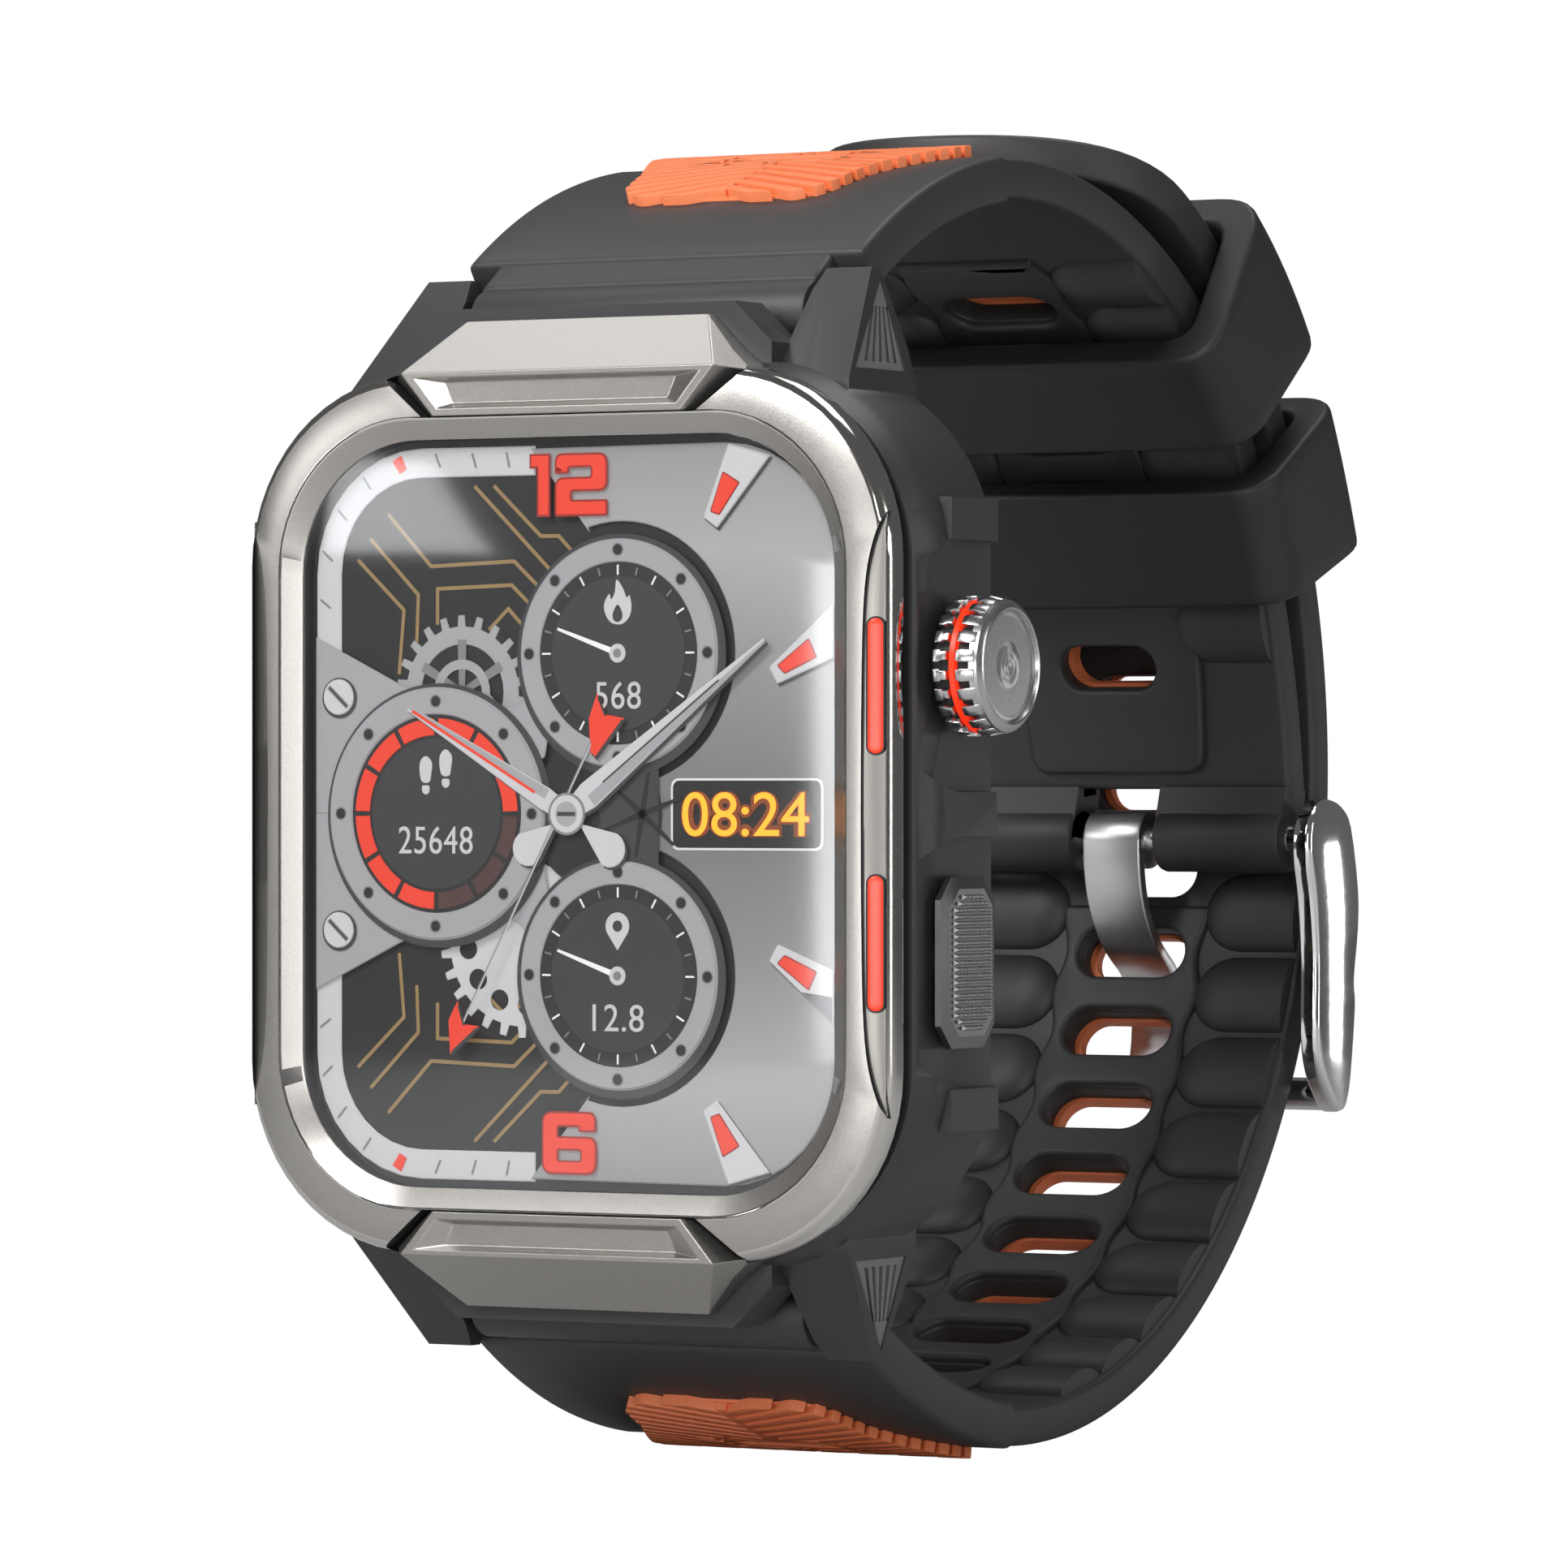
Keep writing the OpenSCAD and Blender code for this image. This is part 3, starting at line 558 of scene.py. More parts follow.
def cap_mesh(side):
    """End cap, side 1 at the top: a front facet with a sunk panel, one sloping back to the
    lug, and bevelled sides."""
    f = -0.95
    bm = bmesh.new()

    def quad(*pts):
        vs = [bm.verts.new(P(x, y, side * z)) for x, y, z in pts]
        bm.faces.new(vs if side > 0 else vs[::-1])

    face_z, top_z = (20.95, 23.25), 26.1
    rim = [(-7.55, face_z[0]), (7.55, face_z[0]), (9.55, face_z[1]), (-9.55, face_z[1])]
    lip = [(-7.35, 21.35), (7.35, 21.35), (8.75, 23.0), (-8.75, 23.0)]
    deep = [(-6.55, 21.62), (6.55, 21.62), (7.05, 22.75), (-7.05, 22.75)]
    for a in range(4):
        b = (a + 1) % 4
        quad((rim[a][0], f, rim[a][1]), (rim[b][0], f, rim[b][1]),
             (lip[b][0], f, lip[b][1]), (lip[a][0], f, lip[a][1]))
        quad((lip[a][0], f, lip[a][1]), (lip[b][0], f, lip[b][1]),
             (deep[b][0], f + 0.5, deep[b][1]), (deep[a][0], f + 0.5, deep[a][1]))
    quad(*[(x, f + 0.5, z) for x, z in deep])
    quad((-9.55, f, face_z[1]), (9.55, f, face_z[1]), (7.4, 2.3, top_z), (-7.4, 2.3, top_z))
    quad((-7.4, 2.3, top_z), (7.4, 2.3, top_z), (7.4, 3.0, top_z), (-7.4, 3.0, top_z))
    quad((-8.3, 0.15, face_z[0]), (-8.3, 3.0, face_z[0]), (8.3, 3.0, face_z[0]),
         (8.3, 0.15, face_z[0]), (7.55, f, face_z[0]), (-7.55, f, face_z[0]))
    quad((-8.3, 3.0, face_z[0]), (-10.9, 3.0, 23.0), (-9.4, 3.0, 24.1), (-7.4, 3.0, top_z),
         (7.4, 3.0, top_z), (9.4, 3.0, 24.1), (10.9, 3.0, 23.0), (8.3, 3.0, face_z[0]))
    for m in (1, -1):
        def edge(*pts):
            pts = [(m * x, y, z) for x, y, z in pts]
            quad(*(pts if m > 0 else pts[::-1]))
        edge((7.55, f, face_z[0]), (8.3, 0.15, face_z[0]), (10.9, 0.85, 23.0),
             (9.55, f, face_z[1]))
        edge((8.3, 0.15, face_z[0]), (8.3, 3.0, face_z[0]), (10.9, 3.0, 23.0), (10.9, 0.85, 23.0))
        edge((10.9, 0.85, 23.0), (10.9, 3.0, 23.0), (9.4, 3.0, 24.1), (9.4, 1.45, 24.1))
        edge((9.4, 1.45, 24.1), (9.4, 3.0, 24.1), (7.4, 3.0, top_z), (7.4, 2.3, top_z))
        edge((9.55, f, face_z[1]), (10.9, 0.85, 23.0), (9.4, 1.45, 24.1), (7.4, 2.3, top_z))
    bmesh.ops.remove_doubles(bm, verts=bm.verts, dist=0.000002)
    return bm


for s, name in ((1, "end_cap_upper"), (-1, "end_cap_lower")):
    o = finish_mesh(name + "_shape", cap_mesh(s), titanium, 12)
    round_edges(o, 0.07, 2, 12)
    place(o, "case", "titanium", name)

# ---------------------------------------------------------------- mid frame and case back

for name, mat, width, seg, slot in (("mid_frame", case_black, 0.30, 3, "case_black"),
                                    ("lug_grilles", grille_black, 0.05, 2, "grille_black"),
                                    ("rear_cover", case_smooth, 0.10, 2, "case_black")):
    place(refined(name, mat, width, seg), "case", slot, name)


# ---------------------------------------------------------------- crown and button

CY, CZ = 5.8, 7.65
crown_face_mat = spun("crown_spun", (0.62, 0.62, 0.63), 0.32,
                      (0, (CY - DEPTH) / 1000, CZ / 1000))
# The crown's body and neck under its teeth are near black: painted shade between the teeth.
bm = lathe([(21.36, 1.15), (21.36, 2.42), (20.70, 2.42), (20.70, 3.16), (20.74, 3.20),
            (21.60, 3.20), (21.60, 2.9)], CY, CZ, mat=1)
lathe([(22.0, 2.9), (22.0, 3.20), (22.9, 3.20)], CY, CZ, bm=bm, mat=1)
lathe([(22.72, 3.1), (22.74, 3.40), (22.80, 3.50), (23.22, 3.42), (23.40, 3.24), (23.47, 3.12),
       (23.50, 3.02), (23.46, 2.95), (23.34, 2.92), (23.25, 2.90), (23.25, 1.0)], CY, CZ, bm=bm)
TEETH = 22
for k in range(TEETH):
    a = 2 * pi * (k + 0.5) / TEETH
    for x0, outline in (
            (20.74, [(0.0, -0.34), (0.38, -0.34), (0.46, -0.24), (0.80, -0.24),
                     (0.80, 0.24), (0.46, 0.24), (0.38, 0.34), (0.0, 0.34)]),
            (22.06, [(0.0, -0.28), (0.30, -0.34), (1.05, -0.34), (1.05, 0.34),
                     (0.30, 0.34), (0.0, 0.28)])):
        def tooth(u, v, w):
            r = 3.36 + w - max(0.0, u + x0 - 22.75) * 0.55
            t = a + v / 3.6
            return P(x0 + u, CY + r * cos(t), CZ + r * sin(t))
        plate([rounded_poly(outline, 0.06, 2)], -0.2, 0.29, tooth, (0.0, 0.07), 2, bm=bm)
place(finish_mesh("crown_cap_shape", bm, [crown_steel, painted_shade_black], 32), "crown",
      "crown_steel", "crown_cap")
# The red ring, which glows a little: painted glow.
bm = lathe([(21.60, 2.5), (21.60, 3.40), (21.66, 3.50), (21.94, 3.50), (22.0, 3.40), (22.0, 2.5)],
           CY, CZ)
place(finish_mesh("crown_ring_shape", bm, red_with_painted_glow, 35), "crown", "crown_red", "crown_ring")
disc = [(23.05, 0.2), (23.05, 2.90), (23.22, 2.88), (23.27, 2.80), (23.27, 2.62), (23.24, 2.58),
        (23.24, 1.30), (23.27, 1.24), (23.28, 1.0), (23.27, 0.1)]
place(finish_mesh("crown_face_shape", lathe(disc, CY, CZ), crown_face_mat, 30), "crown",
      "crown_steel", "crown_face")

# Knurled button: an eight-sided base, a bevel and a face of small pyramids.
BZ = -7.65


def octagon(hy, hz, cut):
    """Rectangle with its four corners cut off."""
    return [(hy, hz - cut), (hy - cut, hz), (-hy + cut, hz), (-hy, hz - cut),
            (-hy, -hz + cut), (-hy + cut, -hz), (hy - cut, -hz), (hy, -hz + cut)]


def button_ring(x, hy, hz, cut):
    return [P(x, CY + y, BZ + z) for y, z in octagon(hy, hz, cut)]


bm = lofted([button_ring(20.50, 2.85, 4.40, 1.2), button_ring(20.53, 2.90, 4.45, 1.2),
             button_ring(20.86, 2.90, 4.45, 1.2), button_ring(20.90, 2.86, 4.41, 1.2),
             button_ring(21.10, 2.30, 3.85, 0.95), button_ring(21.12, 2.26, 3.81, 0.93)])
ny, nz = 9, 21
for i in range(ny):
    for j in range(nz):
        y0 = -2.0 + 4.0 * i / ny
        y1 = y0 + 4.0 / ny
        z0 = -3.55 + 7.1 * j / nz
        z1 = z0 + 7.1 / nz
        if abs((y0 + y1) / 2) + abs((z0 + z1) / 2) > 4.55:
            continue
        g, t = 0.02, 0.15
        base = [(y0 + g, z0 + g), (y1 - g, z0 + g), (y1 - g, z1 - g), (y0 + g, z1 - g)]
        top = [(y0 + t, z0 + t), (y1 - t, z0 + t), (y1 - t, z1 - t), (y0 + t, z1 - t)]
        box_bm(bm, [P(21.08, CY + y, BZ + z) for y, z in base]
               + [P(21.38, CY + y, BZ + z) for y, z in top])
place(finish_mesh("side_button_shape", bm, gunmetal, 25), "button", "gunmetal", "side_button")


# ---------------------------------------------------------------- strap

def step_to(arc, a, r):
    """The arc of radius r that goes on smoothly from another one at angle a."""
    k = arc[2] - r
    return (arc[0] + k * cos(radians(a)), arc[1] + k * sin(radians(a)), r)


# The closed strap is a chain of arcs in the (y, z) plane, each one (y, z, radius).
LUG_ANGLE = 128.5
SLOT_PITCH = 5.2
ARC_A = (31, -1.2, 36)
ARC_B = step_to(ARC_A, 62, 26)
ARC_C = step_to(ARC_B, 30, 50)
ARC_D = step_to((ARC_B[0], ARC_B[1], 30.2), 58, 25)
LOW = (31.7, 2.4)
LOW_R = 54.2 - math.hypot(LOW[0] - ARC_C[0], LOW[1] - ARC_C[1])
LOW_TO = math.degrees(math.atan2(LOW[1] - ARC_C[1], LOW[0] - ARC_C[0]))
UPPER = [(*ARC_A, LUG_ANGLE, 62), (*ARC_B, 62, 30), (*ARC_C, 30, 6)]
LOWER = [(*LOW, LOW_R, -LUG_ANGLE, LOW_TO), (ARC_C[0], ARC_C[1], 54.2, LOW_TO, 30),
         (ARC_B[0], ARC_B[1], 30.2, 30, 58), (*ARC_D, 58, 90)]
PIN = (63.8, -1.7)
BAR_POS = (9, 26.3)


def arc_len(part):
    return part[2] * radians(abs(part[4] - part[3]))


def along(line, s):
    """Place (y, z) and direction angle at a distance s along the strap."""
    for i, arc in enumerate(line):
        if i == len(line) - 1 or s <= arc_len(arc):
            t = radians(arc[3]) + math.copysign(1, arc[4] - arc[3]) * s / arc[2]
            return arc[0] + arc[2] * cos(t), arc[1] + arc[2] * sin(t), t
        s -= arc_len(arc)


def strap_at(line):
    """Placing function: u across the strap, v along it, w out of it."""
    def at(u, v, w):
        y, z, t = along(line, v)
        return P(u, y + w * cos(t), z + w * sin(t))
    return at


def s_of(line, angle):
    """Distance along the strap to an angle from the top (or the bottom) of its first arc."""
    return line[0][2] * radians(abs(line[0][3]) - angle)


def total(line):
    return sum(arc_len(a) for a in line)


# The slots' distances along each strap, counted from one slot of it. The upper strap's pad
# takes the place of its second slot.
UPPER_SLOTS = [79.6 - SLOT_PITCH * k for k in (0, 2, 3, 4, 5, 6, 7)]
SLOT_ANGLE = 18.1
SLOT0 = LOW_R * radians(LUG_ANGLE - SLOT_ANGLE)
LOWER_SLOTS = [SLOT0 + SLOT_PITCH * k for k in range(-7, 10)]


def tube(r, x0, x1, y, z, e=0.25, bm=None, n=40):
    """Round bar along x with its ends rounded by e."""
    return lathe([(x0, r - e), (x0 + e * 0.3, r - e * 0.3), (x0 + e, r), (x1 - e, r),
                  (x1 - e * 0.3, r - e * 0.3), (x1, r - e)], y, z, n, bm)


def strap_body(line, slots, ribs, tail):
    """One half of the strap. The tail half has a round end, the other two eyes for the pin."""
    at = strap_at(line)
    end = total(line)
    a = s_of(line, 120)
    bm = bmesh.new()
    if tail:
        s0 = end - 11.5
        tip = [(11 * cos(t), s0 + 11.5 * sin(t)) for t in
               (pi * i / 32 for i in range(33))]
        far = [(11, s0)] + tip[1:-1] + [(-11, s0)]
    else:
        far = [(11, end), (2.7, end), (2.7, end - 0.5), (-2.7, end - 0.5), (-2.7, end),
               (-11, end)]
    outline = [(-11, a), (-10.35, a - 0.6), (-10.35, 0.6), (10.35, 0.6), (10.35, a - 0.6), (11, a)]
    outline = dense(outline + far, 0.9)
    holes = [stadium(7, 3.1, 8, 0, s) for s in slots if s < end + 0.1]
    plate([outline] + holes, -1.1, 1.1, at, (0.34, 0.30), 3, grid=(2.6, 1.1), bm=bm)
    # the thicker shoulders next to the lugs
    b, c = s_of(line, 124), s_of(line, 97.5)
    cheek = dense([(-12.2, b), (12.2, b), (12.2, c), (-12.2, c)], 0.9)
    plate([cheek], -1.3, 1.28, at, (0.30, 0.34), 3, grid=(3, 1.1), bm=bm)
    # a raised band down the middle with wavy edges
    if tail:
        lo, hi = ribs[0] - 3, ribs[-1] + 0.4
    else:
        lo, hi = ribs[-1] - 3, ribs[0] - 0.4
    n = 60
    wave = [(4.6 + 0.25 * cos(2 * pi * (lo + (hi - lo) * i / n - ribs[0]) / SLOT_PITCH),
             lo + (hi - lo) * i / n) for i in range(n + 1)]
    band = rounded_poly(wave + [(-x, v) for x, v in wave[::-1]],
                        [2.5] + [0] * (n - 1) + [2.5, 2.5] + [0] * (n - 1) + [2.5], 6)
    plate([band] + [h for h in holes if lo < h[0][1] < hi], -1.5, -1.0, at, (0.34, 0.0), 4,
          grid=(1.5, 1.1), bm=bm)
    if not tail:
        pad = rounded_poly([(-6.4, hi - 3.2), (6.4, hi - 3.2), (5.6, end - 1.5), (-5.6, end - 1.5)],
                           1.2, 4)
        open_slots = [stadium(6.2, 2.7, 8, 0, s) for s in slots if hi - 1.6 < s < end - 3.5]
        plate([dense(pad, 1.0)] + open_slots, -1.58, -1.0, at, (0.3, 0.0), 4, grid=(2, 1.1), bm=bm)
    # ribs from the band to the edges, thinner towards their inner end
    for s in ribs:
        for x in (1, -1):
            rings = []
            for i in range(15):
                u = 10.7 - 6.2 * sin(pi / 2 * i / 14)
                k = math.sqrt(max(0.0004, 1 - max(0.0, (7.0 - u) / 2.5) ** 2))
                rings.append([at(x * u, s + 2.45 * k * cos(t), -0.95 - 1.13 * k * sin(t))
                              for t in (pi * j / 16 for j in range(17))])
            lofted(rings, bm=bm)
    return bm


upper_ribs = [s - SLOT_PITCH / 2 for s in UPPER_SLOTS if s < 70]
bm = strap_body(UPPER, UPPER_SLOTS, upper_ribs, False)
tube(1.9, -10.35, 10.35, BAR_POS[0], BAR_POS[1], bm=bm)
tube(1.9, -11, -2.7, PIN[0], PIN[1], bm=bm)
tube(1.9, 2.7, 11, PIN[0], PIN[1], bm=bm)
for x0, x1 in ((-10.9, -2.7), (2.7, 10.9)):
    neck = [(62.2, -1.6), (65.4, -1.6), (65.85, 1.2), (63.2, 1.4)]
    box_bm(bm, [P(x0, y, z) for y, z in neck] + [P(x1, y, z) for y, z in neck])
place(finish_mesh("strap_upper_shape", bm, rubber, 40), "upper_strap", "strap_black",
      "strap_upper")
lower_ribs = [s - SLOT_PITCH / 2 for s in LOWER_SLOTS if s < SLOT0 + 6]
bm = strap_body(LOWER, LOWER_SLOTS, lower_ribs, True)
tube(1.9, -10.35, 10.35, BAR_POS[0], -BAR_POS[1], bm=bm)
place(finish_mesh("strap_lower_shape", bm, rubber, 40), "lower_strap", "strap_black",
      "strap_lower")


# Inlays: a crested shield over the shoulder, then a liner flush with the strap.
SHIELD = [(4.8, 15.82), (5.9, 16.32), (6.57, 17.3), (7.18, 20), (8.57, 23), (9.57, 25.2),
          (9.75, 27.15)]


def clip(poly, px, py, nx, ny):
    """Part of a polygon on the side of a line that its normal points away from."""
    out, n = [], len(poly)
    for i in range(n):
        a, b = poly[i], poly[(i + 1) % n]
        da = (a[0] - px) * nx + (a[1] - py) * ny
        db = (b[0] - px) * nx + (b[1] - py) * ny
        if da <= 0:
            out.append(a)
        if (da < 0) != (db < 0) and abs(da - db) > 1e-9:
            t = da / (da - db)
            out.append((a[0] + (b[0] - a[0]) * t, a[1] + (b[1] - a[1]) * t))
    return out


def clean(poly, d):
    """Leaves out points that lie closer than d to the one before."""
    out = []
    for p in poly:
        if not out or math.hypot(p[0] - out[-1][0], p[1] - out[-1][1]) > d:
            out.append(p)
    while len(out) > 2 and math.hypot(out[0][0] - out[-1][0], out[0][1] - out[-1][1]) <= d:
        out.pop()
    return out


def inlay_mesh(line, to_s, slots):
    """The grooved shield over the shoulder and the liner that goes on to to_s."""
    cy, cz, r = line[0][:3]
    sgn = 1 if line[0][3] > 0 else -1

    def shield_at(u, v, w):
        t = math.acos((v - cy) / (r + 1.8)) * sgn
        return P(u, cy + (r + w) * cos(t), cz + (r + w) * sin(t))

    bm = bmesh.new()
    right = [(x - 0.45, y) for x, y in SHIELD]
    right[0] = (right[0][0], right[0][1] + 0.35)
    base = dense(right + [(-x, y) for x, y in right[::-1]], 0.8)
    hole = stadium(6.6, 1.7, 8, 0, 23.6)
    plate([base, hole], 0.5, 1.46, shield_at, (0, 0.12), 2, grid=(1.5, 1.0), bm=bm)
    rim = stadium(7.5, 2.6, 8, 0, 23.6)
    plate([dense(rim, 0.8), hole], 0.9, 1.85, shield_at, (0, 0.12), 2, bm=bm)
    full = SHIELD + [(-x, y) for x, y in SHIELD[::-1]]
    plate([dense([(-0.3, 16.3), (0.3, 16.3), (0.3, 22.4), (-0.3, 22.4)], 0.8)], 1.0, 1.87,
          shield_at, (0, 0.1), 2, bm=bm)
    pitch, wide, rake = 1.05, 0.58, 0.40
    slope = math.tan(rake)
    for side in (1, -1):
        nrm = Vector((sin(rake) * side, cos(rake)))
        for k in range(-2, 18):
            y0 = 15.9 + k * pitch
            poly = clip([(x, y) for x, y in full], side * 0.1, 0, -side, 0)
            poly = clip(poly, 0, y0 + wide / 2 / cos(rake), nrm.x, nrm.y)
            poly = clip(poly, 0, y0 - wide / 2 / cos(rake), -nrm.x, -nrm.y)
            pieces = [poly]
            if 22.1 < y0 < 26.6:
                near = clip(poly, side * (y0 - 25.0) / slope, 0, side, 0) if y0 > 25.2 else []
                far = clip(poly, side * min(3.9, (y0 - 22.0) / slope), 0, -side, 0)
                pieces = [near, far]
            for piece in pieces:
                piece = clean(piece, 0.05)
                if len(piece) > 2 and abs(area2(piece)) > 0.15:
                    plate([dense(piece, 1.0)], 1.0, 1.89, shield_at, (0, 0.08), 2, bm=bm)
    # liner
    s1 = s_of(line, 96.2)
    at = strap_at(line)
    strip = dense([(-6.4, s1), (6.4, s1), (6.4, to_s), (-6.4, to_s)], 0.9)
    holes = [stadium(6.2, 2.7, 8, 0, s) for s in slots if s1 + 2 < s < to_s - 1.4]
    plate([strip] + holes, 0.3, 1.115, at, (0.0, 0.10), 2, grid=(2.6, 1.1), bm=bm)
    return bm


upper_to = total(UPPER[:2]) + 50 * radians(30 - 9)
lower_to = total(LOWER[:3]) + 25 * radians(66 - 58)
place(finish_mesh("strap_upper_inlay_shape", inlay_mesh(UPPER, upper_to, UPPER_SLOTS), orange,
                  40), "upper_strap", "inlay_orange", "strap_upper_inlay")
place(finish_mesh("strap_lower_inlay_shape", inlay_mesh(LOWER, lower_to, LOWER_SLOTS), orange,
                  40), "lower_strap", "inlay_orange", "strap_lower_inlay")


# ---------------------------------------------------------------- keepers

def keeper_mesh(centre, mid, w):
    """A loop of width w round both layers of the strap, at angle mid of an arc."""
    cy, cz, r = centre
    low, high = -2.45, 5.9
    middle = (low + high) / 2

    def at(u, v, k):
        t = radians(mid) + k / r
        return P(u, cy + (r + v) * cos(t), cz + (r + v) * sin(t))

    def loop(x, height, radius, n):
        top, bottom = middle + height / 2, middle - height / 2
        corners = [(x, top), (-x, top), (-x, bottom), (x, bottom)]
        return dense(rounded_poly(corners, radius, n), 2.0)

    outer = loop(13.75, high - low + 3.8, 3.0, 8)
    inner = loop(11.65, high - low, 1.6, 6)
    # each level is how far the loops are drawn in and the place along the arc
    half, b = w / 2, 0.38
    ease = [(b * (1 - sin(pi * k / 6)), half - b * (1 - cos(pi * k / 6))) for k in range(4)]
    levels = [(d, -k) for d, k in ease]
    levels += [(0, -half + b + (w - 2 * b) * k / 8) for k in range(1, 8)]
    levels += ease[::-1]
    bm = bmesh.new()
    rings_o = [[bm.verts.new(at(*q, k)) for q in inset(outer, d)] for d, k in levels]
    rings_i = [[bm.verts.new(at(*q, k)) for q in inset(inner, -d)] for d, k in levels]
    for rings in (rings_o, rings_i):
        for lo, hi in zip(rings, rings[1:]):
            skin(bm, lo, hi)
    # flat ends between the two loops
    for end in (0, -1):
        d = levels[end][0]
        out_loop, in_loop = inset(outer, d), inset(inner, -d)
        points = [Vector(q) for q in out_loop + in_loop]
        no, ni = len(out_loop), len(in_loop)
        edges = [(j, (j + 1) % no) for j in range(no)]
        edges += [(no + j, no + (j + 1) % ni) for j in range(ni)]
        flat, _, faces, orig, _, _ = delaunay_2d_cdt(points, edges, [], 0, 1e-6)
        verts = rings_o[end] + rings_i[end]
        for f in faces:
            c = sum((Vector(flat[q]) for q in f), Vector((0, 0))) / len(f)
            if inside(c, out_loop) and not inside(c, in_loop):
                bm.faces.new([verts[orig[q][0]] for q in f])
    return bm


place(finish_mesh("keeper_upper_shape", keeper_mesh(ARC_B, 46, 8.4), keeper_rubber, 40),
      "upper_keeper", "keeper_black", "keeper_upper")
place(finish_mesh("keeper_lower_shape", keeper_mesh(ARC_C, 25.2, 8.0), keeper_rubber, 40),
      "lower_keeper", "keeper_black", "keeper_lower")


# ---------------------------------------------------------------- buckle

ARM = [(64.7, 0.68), (63.6, 0.56), (62.35, -0.1), (61.7, -1.4), (61.75, -3), (62.3, -5.2),
       (62.7, -8.8), (62.65, -13), (63.2, -15.2), (64.6, -16.95), (65.6, -17.6),
       (66.6, -17.35), (67.3, -15.8), (67.95, -11.5), (67.8, -9.9), (68.35, -7), (68.35, -4.5),
       (67.4, -0.9), (66.2, 0.3)]
bm = bmesh.new()
arm = smooth_path(ARM, 3, True)
for s in (1, -1):
    plate([arm], 12.1, 13.3, lambda u, v, w, s=s: P(s * w, u, v), (0.15, 0.5), 5, bm=bm)
tube(0.95, -13.2, 13.2, 65.9, -16.6, 0.1, bm)
place(finish_mesh("buckle_frame_shape", bm, chrome, 30), "buckle", "buckle_chrome",
      "buckle_frame")
place(finish_mesh("buckle_bar_shape", tube(0.88, -12.7, 12.7, PIN[0], PIN[1], 0.15), chrome, 30),
      "buckle", "buckle_chrome", "buckle_bar")

TONGUE = smooth_path([(62.45, -1.7), (62.5, -3.2), (62.9, -5), (63.7, -6.6), (64.8, -7.9),
                      (65.8, -8.7), (66.8, -9.4), (67.7, -10.4), (68.3, -11.8), (68.35, -13.4),
                      (68, -15), (67.4, -16.6), (67, -17.6)], 4)
bm = bmesh.new()
tongue_rings = []
for i, p in enumerate(TONGUE):
    a = Vector(TONGUE[max(i - 1, 0)])
    b = Vector(TONGUE[min(i + 1, len(TONGUE) - 1)])
    d = (b - a).normalized()
    nrm = Vector((-d.y, d.x))
    k = i / (len(TONGUE) - 1)
    half = 1.9 - 0.25 * k - (1.1 * max(0, (k - 0.9) / 0.1) ** 2 if k > 0.9 else 0)
    th = 0.40
    section = rrect(2 * half, 2 * th, 0.16, 3)
    tongue_rings.append([P(x, p[0] + nrm.x * q, p[1] + nrm.y * q) for x, q in section])
lofted(tongue_rings, bm=bm)
tube(1.73, -1.88, 1.88, PIN[0], PIN[1], 0.18, bm, 48)
place(finish_mesh("buckle_tongue_shape", bm, tongue_steel, 35), "tongue", "buckle_chrome",
      "buckle_tongue")


# ---------------------------------------------------------------- display

# The picture on the display is built as very thin layers just under a clear sheet.
def lit(name, color, glow=0.25, rough=0.45, metal=0.0, grad=None):
    """A surface of the picture: shaded like the thing it shows, and a little luminous."""
    m = material(name, color, rough, metal)
    b = m.node_tree.nodes["Principled BSDF"]
    b.inputs["Emission Color"].default_value = (*color, 1)
    b.inputs["Emission Strength"].default_value = glow
    co = node(m, "ShaderNodeTexCoord")
    if grad:
        axis, lo, hi, stops = grad
        sep = node(m, "ShaderNodeSeparateXYZ")
        wire(m, co, "Object", sep, "Vector")
        r = node(m, "ShaderNodeMapRange")
        r.inputs["From Min"].default_value = lo / 1000
        r.inputs["From Max"].default_value = hi / 1000
        wire(m, sep, axis, r, "Value")
        ramp = node(m, "ShaderNodeValToRGB")
        while len(ramp.color_ramp.elements) < len(stops):
            ramp.color_ramp.elements.new(0.5)
        for e, (pos, g) in zip(ramp.color_ramp.elements, stops):
            e.position = pos
            e.color = (g, g, g * 1.01, 1)
        wire(m, r, "Result", ramp, "Fac")
        wire(m, ramp, "Color", b, "Base Color")
        wire(m, ramp, "Color", b, "Emission Color")
    n = node(m, "ShaderNodeTexNoise", in_Scale=3000.0)
    mp = node(m, "ShaderNodeMapping")
    mp.inputs["Scale"].default_value = (1, 1, 0.04)
    wire(m, co, "Object", mp, "Vector")
    wire(m, mp, "Vector", n, "Vector")
    rr = node(m, "ShaderNodeMapRange")
    rr.inputs["To Min"].default_value, rr.inputs["To Max"].default_value = rough - 0.06, rough + 0.06
    wire(m, n, "Fac", rr, "Value")
    wire(m, rr, "Result", b, "Roughness")
    return m


d_black = lit("dial_black", (0.003, 0.003, 0.003), 0.0, 0.6)
d_brush = lit("dial_brushed", (0.25, 0.25, 0.26), 0.45, 0.42, 0.0,
              ("Z", -19.3, 19.3, ((0.0, 0.20), (0.13, 0.27), (0.32, 0.17), (0.5, 0.115),
                                  (0.68, 0.18), (0.86, 0.27), (1.0, 0.20))))
d_silver = lit("dial_silver", (0.26, 0.26, 0.27), 0.35)
d_light = lit("dial_light", (0.40, 0.40, 0.41), 0.42)
d_white = lit("dial_white", (0.60, 0.60, 0.60), 0.5)
d_edge = lit("dial_edge", (0.50, 0.50, 0.51), 0.5)
d_mid = lit("dial_mid", (0.15, 0.15, 0.155), 0.35)
d_shade = lit("dial_shade", (0.03, 0.03, 0.032), 0.2)
d_face = lit("dial_face", (0.022, 0.023, 0.024), 0.35)
d_annulus = lit("dial_annulus", (0.010, 0.010, 0.010), 0.3)
